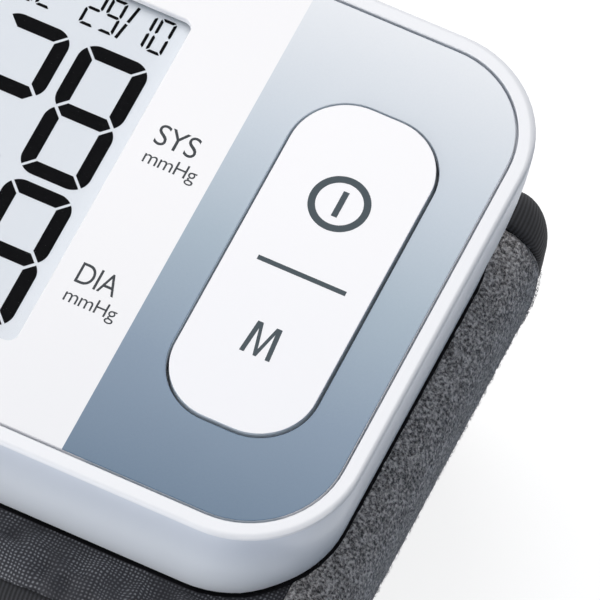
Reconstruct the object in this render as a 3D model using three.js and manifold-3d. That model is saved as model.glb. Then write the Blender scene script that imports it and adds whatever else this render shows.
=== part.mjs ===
// Wrist blood pressure monitor: a two-shell case with a window display and one rocker key,
// carried on a padded, pre-curled cuff that closes round the wrist with a hook-and-loop flap.
// Millimetres, +Z up. x = 0 and y = 0 lie under the middle of the case, z = 0 is the table
// that the underside of the cuff rests on. +Y is up on the display, +X is its right-hand side.
import * as THREE from 'three';
import { mergeVertices } from 'three/addons/utils/BufferGeometryUtils.js';
import Module from 'manifold-3d';

const wasm = await Module();
wasm.setup();

// Driving dimensions
const clearHeight = 76;
const caseSize = {
  width: 80, depth: 70, corner: 13.6, lean: 4, wall: 2, rim: 2, edgeRound: 0.6, footRecess: 1.3,
};
const leanPower = 1.4;
const gap = 0.3;
const overrun = 4;

const panel = { sink: 0.1, thickness: 1, windowGap: 0.1 };
const deckThickness = 2.2;
const windowSize = { width: 31.2, height: 46.1, corner: 1.3, leftMargin: 4.4, topMargin: 9.95 };
const displayGlass = { border: 1.7, thickness: 2, corner: 0.8, sink: 0.2 };
const holder = { wall: 1, floor: 0.9, height: 3.2, seat: 2.6 };
const strip = { width: 1.6, length: 26, inset: 0.8 };

const key = {
  width: 17.5, height: 43.5, corner: 6.9, rightMargin: 6.55, lowered: 0.35, sideGap: 0.35,
  proud: 0.2, skin: 1.4, wall: 1.2, flange: 1, flangeDrop: 1, flangeThickness: 0.6,
};
const trunnion = { radius: 1, drop: 1.4, reach: 3, overhang: 0.4 };
const lug = { thickness: 1.6, width: 5, floor: 0.5 };
const plunger = { reach: 12, radius: 1.7 };

const board = { thickness: 1.2, margin: 1.6 };
const tactSwitch = { body: 6, bodyHeight: 1.1, stem: 1.5, height: 1.65 };
const chip = { size: 8, height: 1.2, x: 5 };

const cell = {
  radius: 5.25, length: 43.3, tip: 1.9, tipLength: 1, spacing: 0.6, doorGap: 0.5, boardGap: 0.9,
};
const contact = { plate: 0.5 };
const contactShares = { width: 0.68, height: 0.8 };
const spring = { length: 3, turns: 2.5, wire: 0.3, wideRadius: 3.2, tipRadius: 1.8 };
const bay = { wall: 1.2 };

const backCover = { thickness: 1.4 };
const post = { radius: 3, innerX: 5.5, innerInset: 9.8, outerInsetX: 11.5, outerInsetY: 12.5, gusset: 1.6 };
const screw = { shank: 1.1, head: 2.1, headHeight: 1, sink: 0.1, reach: 8, slot: 0.6, slotDepth: 0.6 };
const door = { length: 50, top: 8.9, tongueWidth: 6, tongueHeight: 1, tongueY: 15 };

const pump = { x: 21, width: 15, clearance: 0.65, motor: 14, head: 12, headY: -2, corner: 1.6 };
const pumpPortShare = 0.23;
const valve = { width: 9, length: 12, height: 8.6, corner: 1 };
const sensor = { width: 8.6, length: 9, height: 4.6 };
const manifold = { x: 6, size: 7, below: 2.6, above: 2.6 };
const hose = { radius: 2, bore: 1.1, length: 3, nozzle: 1.6 };
const cuffHose = { radius: 2.6, wall: 0.7 };
const buzzer = { x: 19, y: -18.5, radius: 6, thickness: 2.4, port: 1 };

const cuff = {
  overhang: 0.34, corner: 7.2, far: 31.2, near: -41.5, thick: 9, pinched: 6.6,
  shell: 1, curl: 1, lining: 2, edge: 4.2,
};
const sidePower = 0.8;
const dropPower = 1.15;
const felt = { thickness: 0.8, border: 4.9 };
const cuffPlate = { thickness: 2, inset: 0.7 };
const nipple = { radius: 1.6, rise: 3 };
const flap = { depth: 5.4, border: 3, edge: 2.4, shell: 1, jointGap: 0.5 };
const hook = { thickness: 1, border: 9 };
const tail = { thickness: 2.6, border: 6 };
const pullTab = { width: 26, thickness: 1.6 };
const restCut = 0.5;

// Stations round the cuff, as turns of its outline: 0 top middle, 1 to 2 right corner,
// 3 bottom middle, 4 to 5 left corner, 6 top middle again
const coverShares = [-0.99, 3.56];
const feltEndShare = 3.5;
const curlShares = [-0.9, 3.45];
const bladderShares = [-0.8, 3.3];
const flapEndShare = 4.15;
const hookShares = [3.7, 4.06];
const tailShares = [3.68, 3.99];
const tabShares = [3.92, 4.5];
const pinchShare = 0.35;
const gridShares = [0.2, 0.2, 0.1];

const cornerSteps = 8;
const wallSteps = 6;
const roundTurns = 3;
const roundSteps = 24;
const smallSteps = 12;
const edgeSteps = 3;

// Levels, from the display face down
const faceTop = clearHeight;
const panelTop = faceTop - panel.sink;
const panelBottom = panelTop - panel.thickness;
const deckTop = panelBottom - gap;
const deckBottom = deckTop - deckThickness;
const glassTop = deckTop - displayGlass.sink;
const glassBottom = glassTop - displayGlass.thickness;
const holderTop = glassBottom - gap;
const holderBottom = holderTop - holder.height;
const boardTop = holderBottom - gap;
const boardBottom = boardTop - board.thickness;
const cellAxis = boardBottom - cell.boardGap - cell.radius;
const coverTop = cellAxis - cell.radius - gap;
const coverBottom = coverTop - backCover.thickness;
const caseFoot = coverBottom - caseSize.footRecess;
const caseHeight = faceTop - caseFoot;
const plateTop = coverBottom - gap;
const plateBottom = plateTop - cuffPlate.thickness;
const cuffTop = plateBottom - gap + felt.thickness + gap;
const pumpAxis = (coverTop + boardBottom) / 2;
const pumpHeight = boardBottom - coverTop - 2 * pump.clearance;
const hoseLevel = pumpAxis + pumpPortShare * pumpHeight;
const pivotLevel = deckBottom - trunnion.drop;

// Places on the face
const face = { halfX: caseSize.width / 2, halfY: caseSize.depth / 2 };
const recess = {
  halfX: face.halfX - caseSize.rim, halfY: face.halfY - caseSize.rim, corner: caseSize.corner - caseSize.rim,
};
const keyPlace = { x: recess.halfX - key.rightMargin - key.width / 2, y: -key.lowered };
const windowPlace = {
  x: -recess.halfX + windowSize.leftMargin + windowSize.width / 2,
  y: recess.halfY - windowSize.topMargin - windowSize.height / 2,
};
const cuffMiddle = (cuff.far + cuff.near) / 2;
const cuffHalf = (cuff.far - cuff.near) / 2;
const cuffHalfX = face.halfX + cuff.overhang;

const model = new THREE.Group();

const finishes = {
  whiteShell: [0xf4f5f8, 0.32, 0],
  printedPanel: [0xc9d4e0, 0.3, 0],
  clearLens: [0xe6edf4, 0.08, 0],
  displayGlass: [0xd8dfe8, 0.15, 0],
  whiteInner: [0xdfe2e6, 0.5, 0],
  blackRubber: [0x26272a, 0.75, 0],
  board: [0x2f6b48, 0.45, 0],
  brightMetal: [0xc8cace, 0.3, 0.95],
  darkMoulding: [0x303236, 0.5, 0],
  cellSleeve: [0x3a4250, 0.35, 0.3],
  clearHose: [0xd7d9d4, 0.45, 0],
  wovenCover: [0x222326, 0.9, 0],
  loopFelt: [0x55565a, 1, 0],
  lining: [0x2d2e31, 0.95, 0],
  curl: [0xb9bcc0, 0.55, 0],
};

function piece(name, geometry, finish) {
  const [color, roughness, metalness] = finishes[finish];
  const mesh = new THREE.Mesh(geometry, new THREE.MeshStandardMaterial({ color, roughness, metalness }));
  mesh.name = name;
  model.add(mesh);
  return mesh;
}

// Solids for joins and cuts
function solidOf(geometry) {
  const bare = geometry.index ? geometry.toNonIndexed() : geometry.clone();
  bare.deleteAttribute('uv');
  bare.deleteAttribute('normal');
  const merged = mergeVertices(bare, 1e-4);
  const mesh = new wasm.Mesh({
    numProp: 3,
    vertProperties: merged.attributes.position.array,
    triVerts: new Uint32Array(merged.index.array),
  });
  return new wasm.Manifold(mesh);
}

function geometryOf(solid) {
  const { vertProperties, triVerts, numProp } = solid.getMesh();
  const geometry = new THREE.BufferGeometry();
  const count = vertProperties.length / numProp;
  const positions = new Float32Array(count * 3);
  for (let i = 0; i < count; i += 1) {
    positions.set(vertProperties.subarray(i * numProp, i * numProp + 3), i * 3);
  }
  geometry.setAttribute('position', new THREE.BufferAttribute(positions, 3));
  geometry.setIndex(new THREE.BufferAttribute(new Uint32Array(triVerts), 1));
  geometry.computeVertexNormals();
  return geometry;
}

function shaped(base, { add = [], cut = [] } = {}) {
  let solid = solidOf(base);
  for (const extra of add) solid = solid.add(solidOf(extra));
  for (const tool of cut) solid = solid.subtract(solidOf(tool));
  return geometryOf(solid);
}

function common(first, second) {
  return geometryOf(solidOf(first).intersect(solidOf(second)));
}

function joined(...parts) {
  return shaped(parts[0], { add: parts.slice(1) });
}

// Flat outlines
function roundedRectangle(halfX, halfY, radius) {
  const r = Math.min(radius, halfX, halfY);
  const shape = new THREE.Shape();
  shape.absarc(halfX - r, halfY - r, r, 0, Math.PI / 2);
  shape.absarc(r - halfX, halfY - r, r, Math.PI / 2, Math.PI);
  shape.absarc(r - halfX, r - halfY, r, Math.PI, 1.5 * Math.PI);
  shape.absarc(halfX - r, r - halfY, r, 1.5 * Math.PI, 2 * Math.PI);
  return shape;
}

function plateBetween(shape, bottom, top, x = 0, y = 0, steps = cornerSteps) {
  const geometry = new THREE.ExtrudeGeometry(shape, {
    depth: top - bottom, bevelEnabled: false, curveSegments: steps,
  });
  return geometry.translate(x, y, bottom);
}

function box(x, y, z, sizeX, sizeY, sizeZ) {
  return new THREE.BoxGeometry(sizeX, sizeY, sizeZ).translate(x, y, z);
}

function slab(x, y, bottom, top, sizeX, sizeY) {
  return box(x, y, (bottom + top) / 2, sizeX, sizeY, top - bottom);
}

function rodZ(x, y, bottom, top, radius, steps = roundSteps) {
  return new THREE.CylinderGeometry(radius, radius, top - bottom, steps)
    .rotateX(Math.PI / 2)
    .translate(x, y, (bottom + top) / 2);
}

function rodX(x0, x1, y, z, radius, steps = smallSteps) {
  return new THREE.CylinderGeometry(radius, radius, x1 - x0, steps)
    .rotateZ(Math.PI / 2)
    .translate((x0 + x1) / 2, y, z);
}

function rodY(x, y0, y1, z, radius, steps = smallSteps) {
  return new THREE.CylinderGeometry(radius, radius, y1 - y0, steps).translate(x, (y0 + y1) / 2, z);
}

// A run of rings with equal counts, closed by a cap at each end
function ringSolid(rings, loops) {
  const count = rings[0].length;
  const positions = rings.flat().flatMap((p) => [p.x, p.y, p.z]);
  const faces = [];
  for (let k = 0; k + 1 < rings.length; k += 1) {
    for (let i = 0; i < count; i += 1) {
      const j = (i + 1) % count;
      const [a, b] = [k * count + i, k * count + j];
      faces.push(a, b, b + count, a, b + count, a + count);
    }
  }
  const last = (rings.length - 1) * count;
  for (const [a, b, c] of THREE.ShapeUtils.triangulateShape(loops[0], [])) faces.push(a, c, b);
  for (const [a, b, c] of THREE.ShapeUtils.triangulateShape(loops[1], [])) {
    faces.push(last + a, last + b, last + c);
  }
  const geometry = new THREE.BufferGeometry();
  geometry.setAttribute('position', new THREE.Float32BufferAttribute(positions, 3));
  geometry.setIndex(faces);
  geometry.computeVertexNormals();
  return geometry;
}

// Case shells: level outlines that lean in towards the foot
function leanAt(z) {
  const drop = Math.max(0, faceTop - z);
  return caseSize.lean * (drop / caseHeight) ** leanPower;
}

function caseLoft(levels, corner) {
  const loops = levels.map(([, inset]) => (
    roundedRectangle(face.halfX - inset, face.halfY - inset, corner).getPoints(cornerSteps)
  ));
  const rings = loops.map((loop, k) => loop.map((p) => new THREE.Vector3(p.x, p.y, levels[k][0])));
  return ringSolid(rings, [loops[0], loops[loops.length - 1]]);
}

function outerLoft() {
  const r = caseSize.edgeRound;
  const levels = [];
  for (let i = 0; i <= roundTurns; i += 1) {
    const angle = (i / roundTurns) * Math.PI / 2;
    const z = caseFoot + r * (1 - Math.cos(angle));
    levels.push([z, leanAt(z) + r * (1 - Math.sin(angle))]);
  }
  for (let i = 1; i < wallSteps; i += 1) {
    const z = THREE.MathUtils.lerp(caseFoot + r, faceTop - r, i / wallSteps);
    levels.push([z, leanAt(z)]);
  }
  for (let i = 0; i <= roundTurns; i += 1) {
    const angle = (i / roundTurns) * Math.PI / 2;
    const z = faceTop - r * (1 - Math.sin(angle));
    levels.push([z, leanAt(z) + r * (1 - Math.cos(angle))]);
  }
  return caseLoft(levels, caseSize.corner);
}

function cavityLoft(top, shrink = 0) {
  const levels = [[caseFoot - overrun, leanAt(caseFoot) + caseSize.wall + shrink]];
  for (let i = 0; i <= wallSteps; i += 1) {
    const z = THREE.MathUtils.lerp(caseFoot, top, i / wallSteps);
    levels.push([z, leanAt(z) + caseSize.wall + shrink]);
  }
  return caseLoft(levels, caseSize.corner - caseSize.wall - shrink);
}

function keyOutline(grow) {
  return roundedRectangle(key.width / 2 + grow, key.height / 2 + grow, key.corner + grow);
}

function windowOutline(grow) {
  const { width, height, corner } = windowSize;
  return roundedRectangle(width / 2 + grow, height / 2 + grow, corner + grow);
}

function atKey(grow, bottom, top) {
  return plateBetween(keyOutline(grow), bottom, top, keyPlace.x, keyPlace.y);
}

function atWindow(grow, bottom, top) {
  return plateBetween(windowOutline(grow), bottom, top, windowPlace.x, windowPlace.y);
}

const glass = {
  halfX: windowSize.width / 2 + displayGlass.border,
  halfY: windowSize.height / 2 + displayGlass.border,
};

function atGlass(grow, bottom, top) {
  const outline = roundedRectangle(glass.halfX + grow, glass.halfY + grow, displayGlass.corner);
  return plateBetween(outline, bottom, top, windowPlace.x, windowPlace.y);
}

const innerPosts = [-1, 1].map((side) => [post.innerX, side * (face.halfY - post.innerInset)]);
const outerPosts = [-1, 1].map((side) => (
  [face.halfX - post.outerInsetX, side * (face.halfY - post.outerInsetY)]
));
const postPlaces = [...innerPosts, ...outerPosts];
const lugOffset = key.width / 2 + key.flange + trunnion.reach - trunnion.overhang - lug.thickness / 2;

function doorSpace(shrink) {
  const top = faceTop - door.top - shrink;
  const reach = face.halfX / 2;
  return slab(-face.halfX, 0, caseFoot - overrun, top, reach, door.length - 2 * shrink);
}

// A rib from an outer post to the case's rounded corner
function cornerGusset([x, y]) {
  const length = caseSize.corner + caseSize.wall;
  const turn = Math.sign(y) * Math.PI / 4;
  const rib = slab(length / 2, 0, coverTop + gap, boardBottom - gap, length, post.gusset);
  return common(rib.rotateZ(turn).translate(x, y, 0), cavityLoft(deckBottom, -caseSize.wall / 2));
}

function makeUpperCase() {
  const hollow = shaped(outerLoft(), { cut: [cavityLoft(deckBottom)] });
  const lugs = [];
  const lugHoles = [];
  for (const side of [-1, 1]) {
    const x = keyPlace.x + side * lugOffset;
    const foot = pivotLevel - trunnion.radius - gap - lug.floor;
    lugs.push(slab(x, keyPlace.y, foot, deckTop - gap, lug.thickness, lug.width));
    lugHoles.push(rodX(x - lug.thickness, x + lug.thickness, keyPlace.y, pivotLevel, trunnion.radius + gap));
  }
  const longPosts = innerPosts.map(([x, y]) => rodZ(x, y, coverTop + gap, deckTop - gap, post.radius));
  const shortPosts = outerPosts.map(([x, y]) => rodZ(x, y, coverTop + gap, boardBottom - gap, post.radius));
  const bores = postPlaces.map(([x, y]) => (
    rodZ(x, y, coverTop - gap, coverTop + screw.reach + 2 * gap, screw.shank + gap, smallSteps)
  ));
  return shaped(hollow, {
    add: [...longPosts, ...shortPosts, ...outerPosts.map(cornerGusset), ...lugs],
    cut: [
      plateBetween(roundedRectangle(recess.halfX, recess.halfY, recess.corner), deckTop, faceTop + overrun),
      atGlass(gap, deckBottom - overrun, faceTop),
      atKey(key.sideGap, deckBottom - gap, faceTop),
      ...lugHoles,
      ...bores,
      doorSpace(0),
    ],
  });
}

function makeFrontPanel() {
  const outline = roundedRectangle(recess.halfX - gap, recess.halfY - gap, recess.corner - gap);
  return shaped(plateBetween(outline, panelBottom, panelTop), {
    cut: [atWindow(0, deckBottom, faceTop), atKey(key.sideGap, deckBottom, faceTop)],
  });
}

// Display: glass in the deck's opening with the lens bonded on it, and an open holder below,
// with contact strips down to the board
function makeLens() {
  return atWindow(-panel.windowGap, glassTop + gap, panelTop);
}

const stripOffset = glass.halfY - strip.inset - strip.width / 2;

function makeHolder() {
  const grow = gap + holder.wall;
  const slots = [-1, 1].map((side) => {
    const y = windowPlace.y + side * stripOffset;
    return slab(windowPlace.x, y, boardTop, faceTop, strip.length + 2 * gap, strip.width + 2 * gap);
  });
  const tray = shaped(atGlass(grow, holderBottom, holderTop), {
    cut: [atGlass(-holder.seat, holderBottom + holder.floor, faceTop), ...slots],
  });
  return common(tray, cavityLoft(deckBottom, gap));
}

function makeStrip(side) {
  const y = windowPlace.y + side * stripOffset;
  return slab(windowPlace.x, y, boardTop + gap, glassBottom - gap, strip.length, strip.width);
}

// Rocker key: one cap on a cross shaft, with a retaining flange under the deck
function makeKey() {
  const flangeTop = deckBottom - key.flangeDrop;
  const flangeBottom = flangeTop - key.flangeThickness;
  const half = key.width / 2 + key.flange + trunnion.reach;
  const hollow = shaped(atKey(0, flangeBottom, faceTop + key.proud), {
    add: [atKey(key.flange, flangeBottom, flangeTop)],
    cut: [atKey(-key.wall, flangeBottom - gap, faceTop + key.proud - key.skin)],
  });
  const pads = [-1, 1].map((side) => {
    const y = keyPlace.y + side * plunger.reach;
    return rodZ(keyPlace.x, y, flangeBottom, faceTop - gap, plunger.radius, smallSteps);
  });
  const shaft = rodX(keyPlace.x - half, keyPlace.x + half, keyPlace.y, pivotLevel, trunnion.radius);
  const web = slab(keyPlace.x, keyPlace.y, pivotLevel, faceTop - gap, key.width - key.wall, key.wall);
  return joined(hollow, ...pads, shaft, web);
}

function makeSwitch(side) {
  const y = keyPlace.y + side * plunger.reach;
  const foot = boardTop + gap;
  return joined(
    slab(keyPlace.x, y, foot, foot + tactSwitch.bodyHeight - gap, tactSwitch.body, tactSwitch.body),
    rodZ(keyPlace.x, y, foot, boardTop + tactSwitch.height, tactSwitch.stem, smallSteps),
  );
}

function makeBoard() {
  const inset = leanAt(boardBottom) + caseSize.wall + board.margin;
  const outline = roundedRectangle(
    face.halfX - inset, face.halfY - inset, caseSize.corner - caseSize.wall - board.margin,
  );
  const holes = innerPosts.map(([x, y]) => rodZ(x, y, boardBottom - gap, boardTop + gap, post.radius + gap));
  return shaped(plateBetween(outline, boardBottom, boardTop), { cut: holes });
}

// Battery bay, along the left-hand side
const doorFace = -(face.halfX - leanAt(coverTop) - caseSize.wall);
const cellPitch = 2 * cell.radius + cell.spacing;
const cellPlaces = [0, 1].map((i) => doorFace + cell.doorGap + cell.radius + i * cellPitch);
const bayLength = 5 * gap + 2 * contact.plate + spring.length + cell.length + cell.tipLength;
const bayEnd = bayLength / 2;
const bayRight = cellPlaces[1] + cell.radius + gap;

function makeCell(x, direction) {
  const base = -direction * (bayEnd - 3 * gap - contact.plate - spring.length);
  const shoulder = base + direction * cell.length;
  const tip = shoulder + direction * cell.tipLength;
  return joined(
    rodY(x, Math.min(base, shoulder), Math.max(base, shoulder), cellAxis, cell.radius, roundSteps),
    rodY(x, Math.min(base, tip), Math.max(base, tip), cellAxis, cell.tip),
  );
}

function makeContact(x0, x1, side) {
  const y = side * (bayEnd - gap - contact.plate / 2);
  const across = 2 * cell.radius;
  const width = x1 - x0 + contactShares.width * across;
  return box((x0 + x1) / 2, y, cellAxis, width, contact.plate, contactShares.height * across);
}

class ConeHelix extends THREE.Curve {
  constructor(x, start, direction) {
    super();
    this.x = x;
    this.start = start;
    this.direction = direction;
  }

  getPoint(t, target = new THREE.Vector3()) {
    const radius = THREE.MathUtils.lerp(spring.wideRadius, spring.tipRadius, t);
    const angle = 2 * Math.PI * spring.turns * t;
    const rise = THREE.MathUtils.lerp(spring.wire, spring.length - spring.wire, t);
    return target.set(
      this.x + radius * Math.cos(angle),
      this.start + this.direction * rise,
      cellAxis + radius * Math.sin(angle),
    );
  }
}

function makeSpring(x, direction) {
  const start = -direction * (bayEnd - 2 * gap - contact.plate);
  const section = new THREE.Shape().absarc(0, 0, spring.wire, 0, 2 * Math.PI);
  return new THREE.ExtrudeGeometry(section, {
    steps: Math.round(spring.turns * cornerSteps),
    curveSegments: 3,
    extrudePath: new ConeHelix(x, start, direction),
  });
}

function makeBackCover() {
  const inset = leanAt(coverBottom) + caseSize.wall + gap;
  const corner = caseSize.corner - caseSize.wall - gap;
  const outline = roundedRectangle(face.halfX - inset, face.halfY - inset, corner);
  const wallTop = boardBottom - gap;
  const wallFoot = coverTop - gap;
  const [left, right] = [-face.halfX, bayRight + bay.wall];
  const bayOutline = new THREE.Shape([
    [left, -bayEnd - bay.wall],
    [right, -bayEnd - bay.wall],
    [right, bayEnd + bay.wall],
    [left, bayEnd + bay.wall],
    [left, bayEnd],
    [bayRight, bayEnd],
    [bayRight, -bayEnd],
    [left, -bayEnd],
  ].map(([x, y]) => new THREE.Vector2(x, y)));
  const walls = common(plateBetween(bayOutline, wallFoot, wallTop), cavityLoft(deckBottom, gap));
  const holes = postPlaces.map(([x, y]) => (
    rodZ(x, y, coverBottom - gap, coverTop + gap, screw.shank + gap, smallSteps)
  ));
  const nippleHole = rodZ(manifold.x, 0, coverBottom - gap, coverTop + gap, nipple.radius + gap);
  return shaped(plateBetween(outline, coverBottom, coverTop), { add: [walls], cut: [...holes, nippleHole] });
}

function makeDoor() {
  const shell = shaped(outerLoft(), { cut: [cavityLoft(deckBottom)] });
  const lid = common(shell, doorSpace(gap));
  const foot = coverTop + gap;
  const inner = -(face.halfX - leanAt(foot) - caseSize.wall);
  const cellReach = Math.sqrt(cell.radius ** 2 - (cell.radius - door.tongueHeight) ** 2);
  const tip = cellPlaces[0] - cellReach - gap;
  const root = inner - caseSize.wall / 2;
  const tongues = [-1, 1].map((side) => (
    slab((root + tip) / 2, side * door.tongueY, foot, foot + door.tongueHeight, tip - root, door.tongueWidth)
  ));
  return joined(lid, ...tongues);
}

function makeScrew([x, y]) {
  const headBottom = plateBottom + screw.sink;
  const headTop = headBottom + screw.headHeight;
  const cross = [
    slab(x, y, headBottom - gap, headBottom + screw.slotDepth, screw.head, screw.slot),
    slab(x, y, headBottom - gap, headBottom + screw.slotDepth, screw.slot, screw.head),
  ];
  return shaped(rodZ(x, y, headBottom, headTop, screw.head), {
    add: [rodZ(x, y, headBottom, coverTop + screw.reach, screw.shank, smallSteps)],
    cut: cross,
  });
}

const plateInset = leanAt(coverBottom) + caseSize.wall + gap + cuffPlate.inset;
const plateHalfX = face.halfX - plateInset;

function makeCuffPlate() {
  const corner = caseSize.corner - caseSize.wall - gap - cuffPlate.inset;
  const outline = roundedRectangle(plateHalfX, face.halfY - plateInset, corner);
  const seats = postPlaces.flatMap(([x, y]) => [
    rodZ(x, y, plateBottom - gap, plateBottom + screw.sink + screw.headHeight + gap, screw.head + gap),
    rodZ(x, y, plateBottom - gap, plateTop + gap, screw.shank + gap, smallSteps),
  ]);
  const nippleHole = rodZ(manifold.x, 0, plateBottom - gap, plateTop + gap, nipple.radius + gap);
  return shaped(plateBetween(outline, plateBottom, plateTop), { cut: [...seats, nippleHole] });
}

// Air train: pump, exhaust valve and pressure sensor on one manifold over the cuff's nipple
const manifoldFace = manifold.size / 2;
const hoseStart = manifoldFace + gap;
const hoseEnd = hoseStart + hose.length;
const partStart = hoseEnd + gap;

function sideBlock(width, height, corner, y0, y1, x, z) {
  const outline = roundedRectangle(width / 2, height / 2, corner);
  return new THREE.ExtrudeGeometry(outline, { depth: y1 - y0, bevelEnabled: false, curveSegments: 3 })
    .rotateX(Math.PI / 2)
    .translate(x, y1, z);
}

function makePumpHead() {
  const y0 = pump.headY - pump.head / 2;
  const side = pump.x - pump.width / 2;
  return joined(
    sideBlock(pump.width, pumpHeight, pump.corner, y0, y0 + pump.head, pump.x, pumpAxis),
    rodX(side - gap - hose.nozzle, side + pump.corner, 0, hoseLevel, hose.bore - gap),
  );
}

function makePumpMotor() {
  const y0 = pump.headY + pump.head / 2 + gap;
  return sideBlock(pump.width, pumpHeight, pump.corner * 2, y0, y0 + pump.motor, pump.x, pumpAxis);
}

function makeValve() {
  const z = boardBottom - gap - valve.height / 2;
  return joined(
    sideBlock(valve.width, valve.height, valve.corner, partStart, partStart + valve.length, manifold.x, z),
    rodY(manifold.x, partStart - gap - hose.nozzle, partStart + valve.corner, hoseLevel, hose.bore - gap),
  );
}

function makeSensor() {
  const top = boardBottom - gap;
  const y = -(partStart + sensor.length / 2);
  return joined(
    slab(manifold.x, y, top - sensor.height, top, sensor.width, sensor.length),
    rodY(manifold.x, -(partStart + valve.corner), gap + hose.nozzle - partStart, hoseLevel, hose.bore - gap),
  );
}

function makeManifold() {
  const bottom = hoseLevel - manifold.below;
  const port = hose.bore - gap;
  const reach = manifoldFace + gap + hose.length / 2 - gap;
  return joined(
    slab(manifold.x, 0, bottom, hoseLevel + manifold.above, manifold.size, manifold.size),
    rodX(manifold.x, manifold.x + reach, 0, hoseLevel, port),
    rodY(manifold.x, -reach, reach, hoseLevel, port),
  );
}

function makeHoseX() {
  const x0 = manifold.x + hoseStart;
  const x1 = pump.x - pump.width / 2 - gap;
  return shaped(rodX(x0, x1, 0, hoseLevel, hose.radius), {
    cut: [rodX(x0 - gap, x1 + gap, 0, hoseLevel, hose.bore)],
  });
}

function makeHoseY(side) {
  const [y0, y1] = side > 0 ? [hoseStart, hoseEnd] : [-hoseEnd, -hoseStart];
  return shaped(rodY(manifold.x, y0, y1, hoseLevel, hose.radius), {
    cut: [rodY(manifold.x, y0 - gap, y1 + gap, hoseLevel, hose.bore)],
  });
}

function makeCuffHose() {
  const [z0, z1] = [coverTop + gap, hoseLevel - manifold.below - gap];
  return shaped(rodZ(manifold.x, 0, z0, z1, cuffHose.radius, smallSteps), {
    cut: [rodZ(manifold.x, 0, z0 - gap, z1 + gap, cuffHose.radius - cuffHose.wall, smallSteps)],
  });
}

function makeBuzzer() {
  const top = boardBottom - gap;
  const bottom = top - buzzer.thickness;
  return shaped(rodZ(buzzer.x, buzzer.y, bottom, top, buzzer.radius), {
    cut: [rodZ(buzzer.x, buzzer.y, bottom - gap, bottom + buzzer.port, buzzer.port, smallSteps)],
  });
}

// Cuff outline, seen from the front: a flat top under the case, tight corners, and a lower half
// whose sides draw in early and whose bottom is broad
const cuffShoulder = cuffTop - cuff.corner;
const cuffDrop = cuffShoulder + restCut;
const cuffFlat = cuffHalfX - cuff.corner;
const feltStartShare = 1 + Math.asin((plateHalfX + gap - cuffFlat) / cuff.corner) / (Math.PI / 2);

function cuffPoint(turn) {
  const u = ((turn % 6) + 6) % 6;
  const side = u <= 3 ? 1 : -1;
  const v = u <= 3 ? u : 6 - u;
  if (v < 1) return [side * v * cuffFlat, cuffTop];
  if (v < 2) {
    const angle = (v - 1) * Math.PI / 2;
    return [side * (cuffFlat + cuff.corner * Math.sin(angle)), cuffShoulder + cuff.corner * Math.cos(angle)];
  }
  const angle = (v - 2) * Math.PI / 2;
  const x = cuffHalfX * Math.max(0, Math.cos(angle)) ** sidePower;
  return [side * x, cuffShoulder - cuffDrop * Math.sin(angle) ** dropPower];
}

function cuffNormal(turn) {
  const step = 1e-3;
  const [x0, z0] = cuffPoint(turn - step);
  const [x1, z1] = cuffPoint(turn + step);
  const length = Math.hypot(x1 - x0, z1 - z0);
  return [-(z1 - z0) / length, (x1 - x0) / length];
}

function cuffThickness(turn) {
  const u = ((turn % 6) + 6) % 6;
  const v = Math.min(u, 6 - u);
  const away = (Math.abs(v - 1.5) - 0.5) / pinchShare;
  return cuff.thick - (cuff.thick - cuff.pinched) * (1 - THREE.MathUtils.smoothstep(away, 0, 1));
}

function turnsBetween(from, to) {
  const turns = [from];
  for (let whole = Math.floor(from); whole < to; whole += 1) {
    const v = Math.min(((whole % 6) + 6) % 6, 5 - (((whole % 6) + 6) % 6));
    const step = gridShares[v];
    const count = Math.round(1 / step);
    for (let i = 0; i < count; i += 1) {
      const turn = whole + i * step;
      if (turn > from + step / 3 && turn < to - step / 3) turns.push(turn);
    }
  }
  return [...turns, to];
}

// A strip along the outline: its section gives [depth below the outline, y] pairs at each station
function cuffStrip([from, to], section) {
  const turns = turnsBetween(from, to);
  const loops = turns.map((turn) => section(turn).map(([depth, y]) => new THREE.Vector2(depth, y)));
  const rings = turns.map((turn, k) => {
    const [x, z] = cuffPoint(turn);
    const [nx, nz] = cuffNormal(turn);
    return loops[k].map((p) => new THREE.Vector3(x - nx * p.x, cuffMiddle + p.y, z - nz * p.x));
  });
  return ringSolid(rings, [loops[0], loops[loops.length - 1]]);
}

function halfRound(outer, inner, half, edge, side) {
  const points = [];
  const middle = (outer + inner) / 2;
  const depth = (inner - outer) / 2;
  for (let i = 0; i <= 2 * edgeSteps; i += 1) {
    const angle = (i / (2 * edgeSteps)) * Math.PI;
    points.push([middle + side * depth * Math.cos(angle), side * (half - edge + edge * Math.sin(angle))]);
  }
  return points;
}

function padLoop(outer, inner, half, edge) {
  return [...halfRound(outer, inner, half, edge, 1), ...halfRound(outer, inner, half, edge, -1)];
}

function channelLoop(outer, inner, half, edge, wall) {
  const outside = padLoop(outer, inner, half, edge);
  const inside = padLoop(outer + wall, inner - wall, half - wall, edge - wall);
  return [...outside, ...inside.reverse()];
}

function bandLoop(outer, inner, half) {
  return [[inner, -half], [inner, half], [outer, half], [outer, -half]];
}

const coverDepth = felt.thickness + gap;
const curlDepth = coverDepth + cuff.shell + gap;
const bladderDepth = curlDepth + cuff.curl + gap;
const innerHalf = cuffHalf - cuff.edge;

function nippleBore() {
  return rodZ(manifold.x, 0, cuffTop - bladderDepth, plateBottom, nipple.radius + gap);
}

function makeCover() {
  const shell = cuffStrip(coverShares, (turn) => (
    channelLoop(coverDepth, cuffThickness(turn), cuffHalf, cuff.edge, cuff.shell)
  ));
  return shaped(shell, { cut: [nippleBore()] });
}

function makeFelt() {
  const pad = cuffStrip([feltStartShare, feltEndShare], () => (
    padLoop(0, felt.thickness, cuffHalf - felt.border, felt.thickness)
  ));
  const below = slab(0, cuffMiddle, -overrun, 0, 2 * cuffHalfX, 2 * cuffHalf);
  return shaped(pad, { cut: [below] });
}

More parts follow.
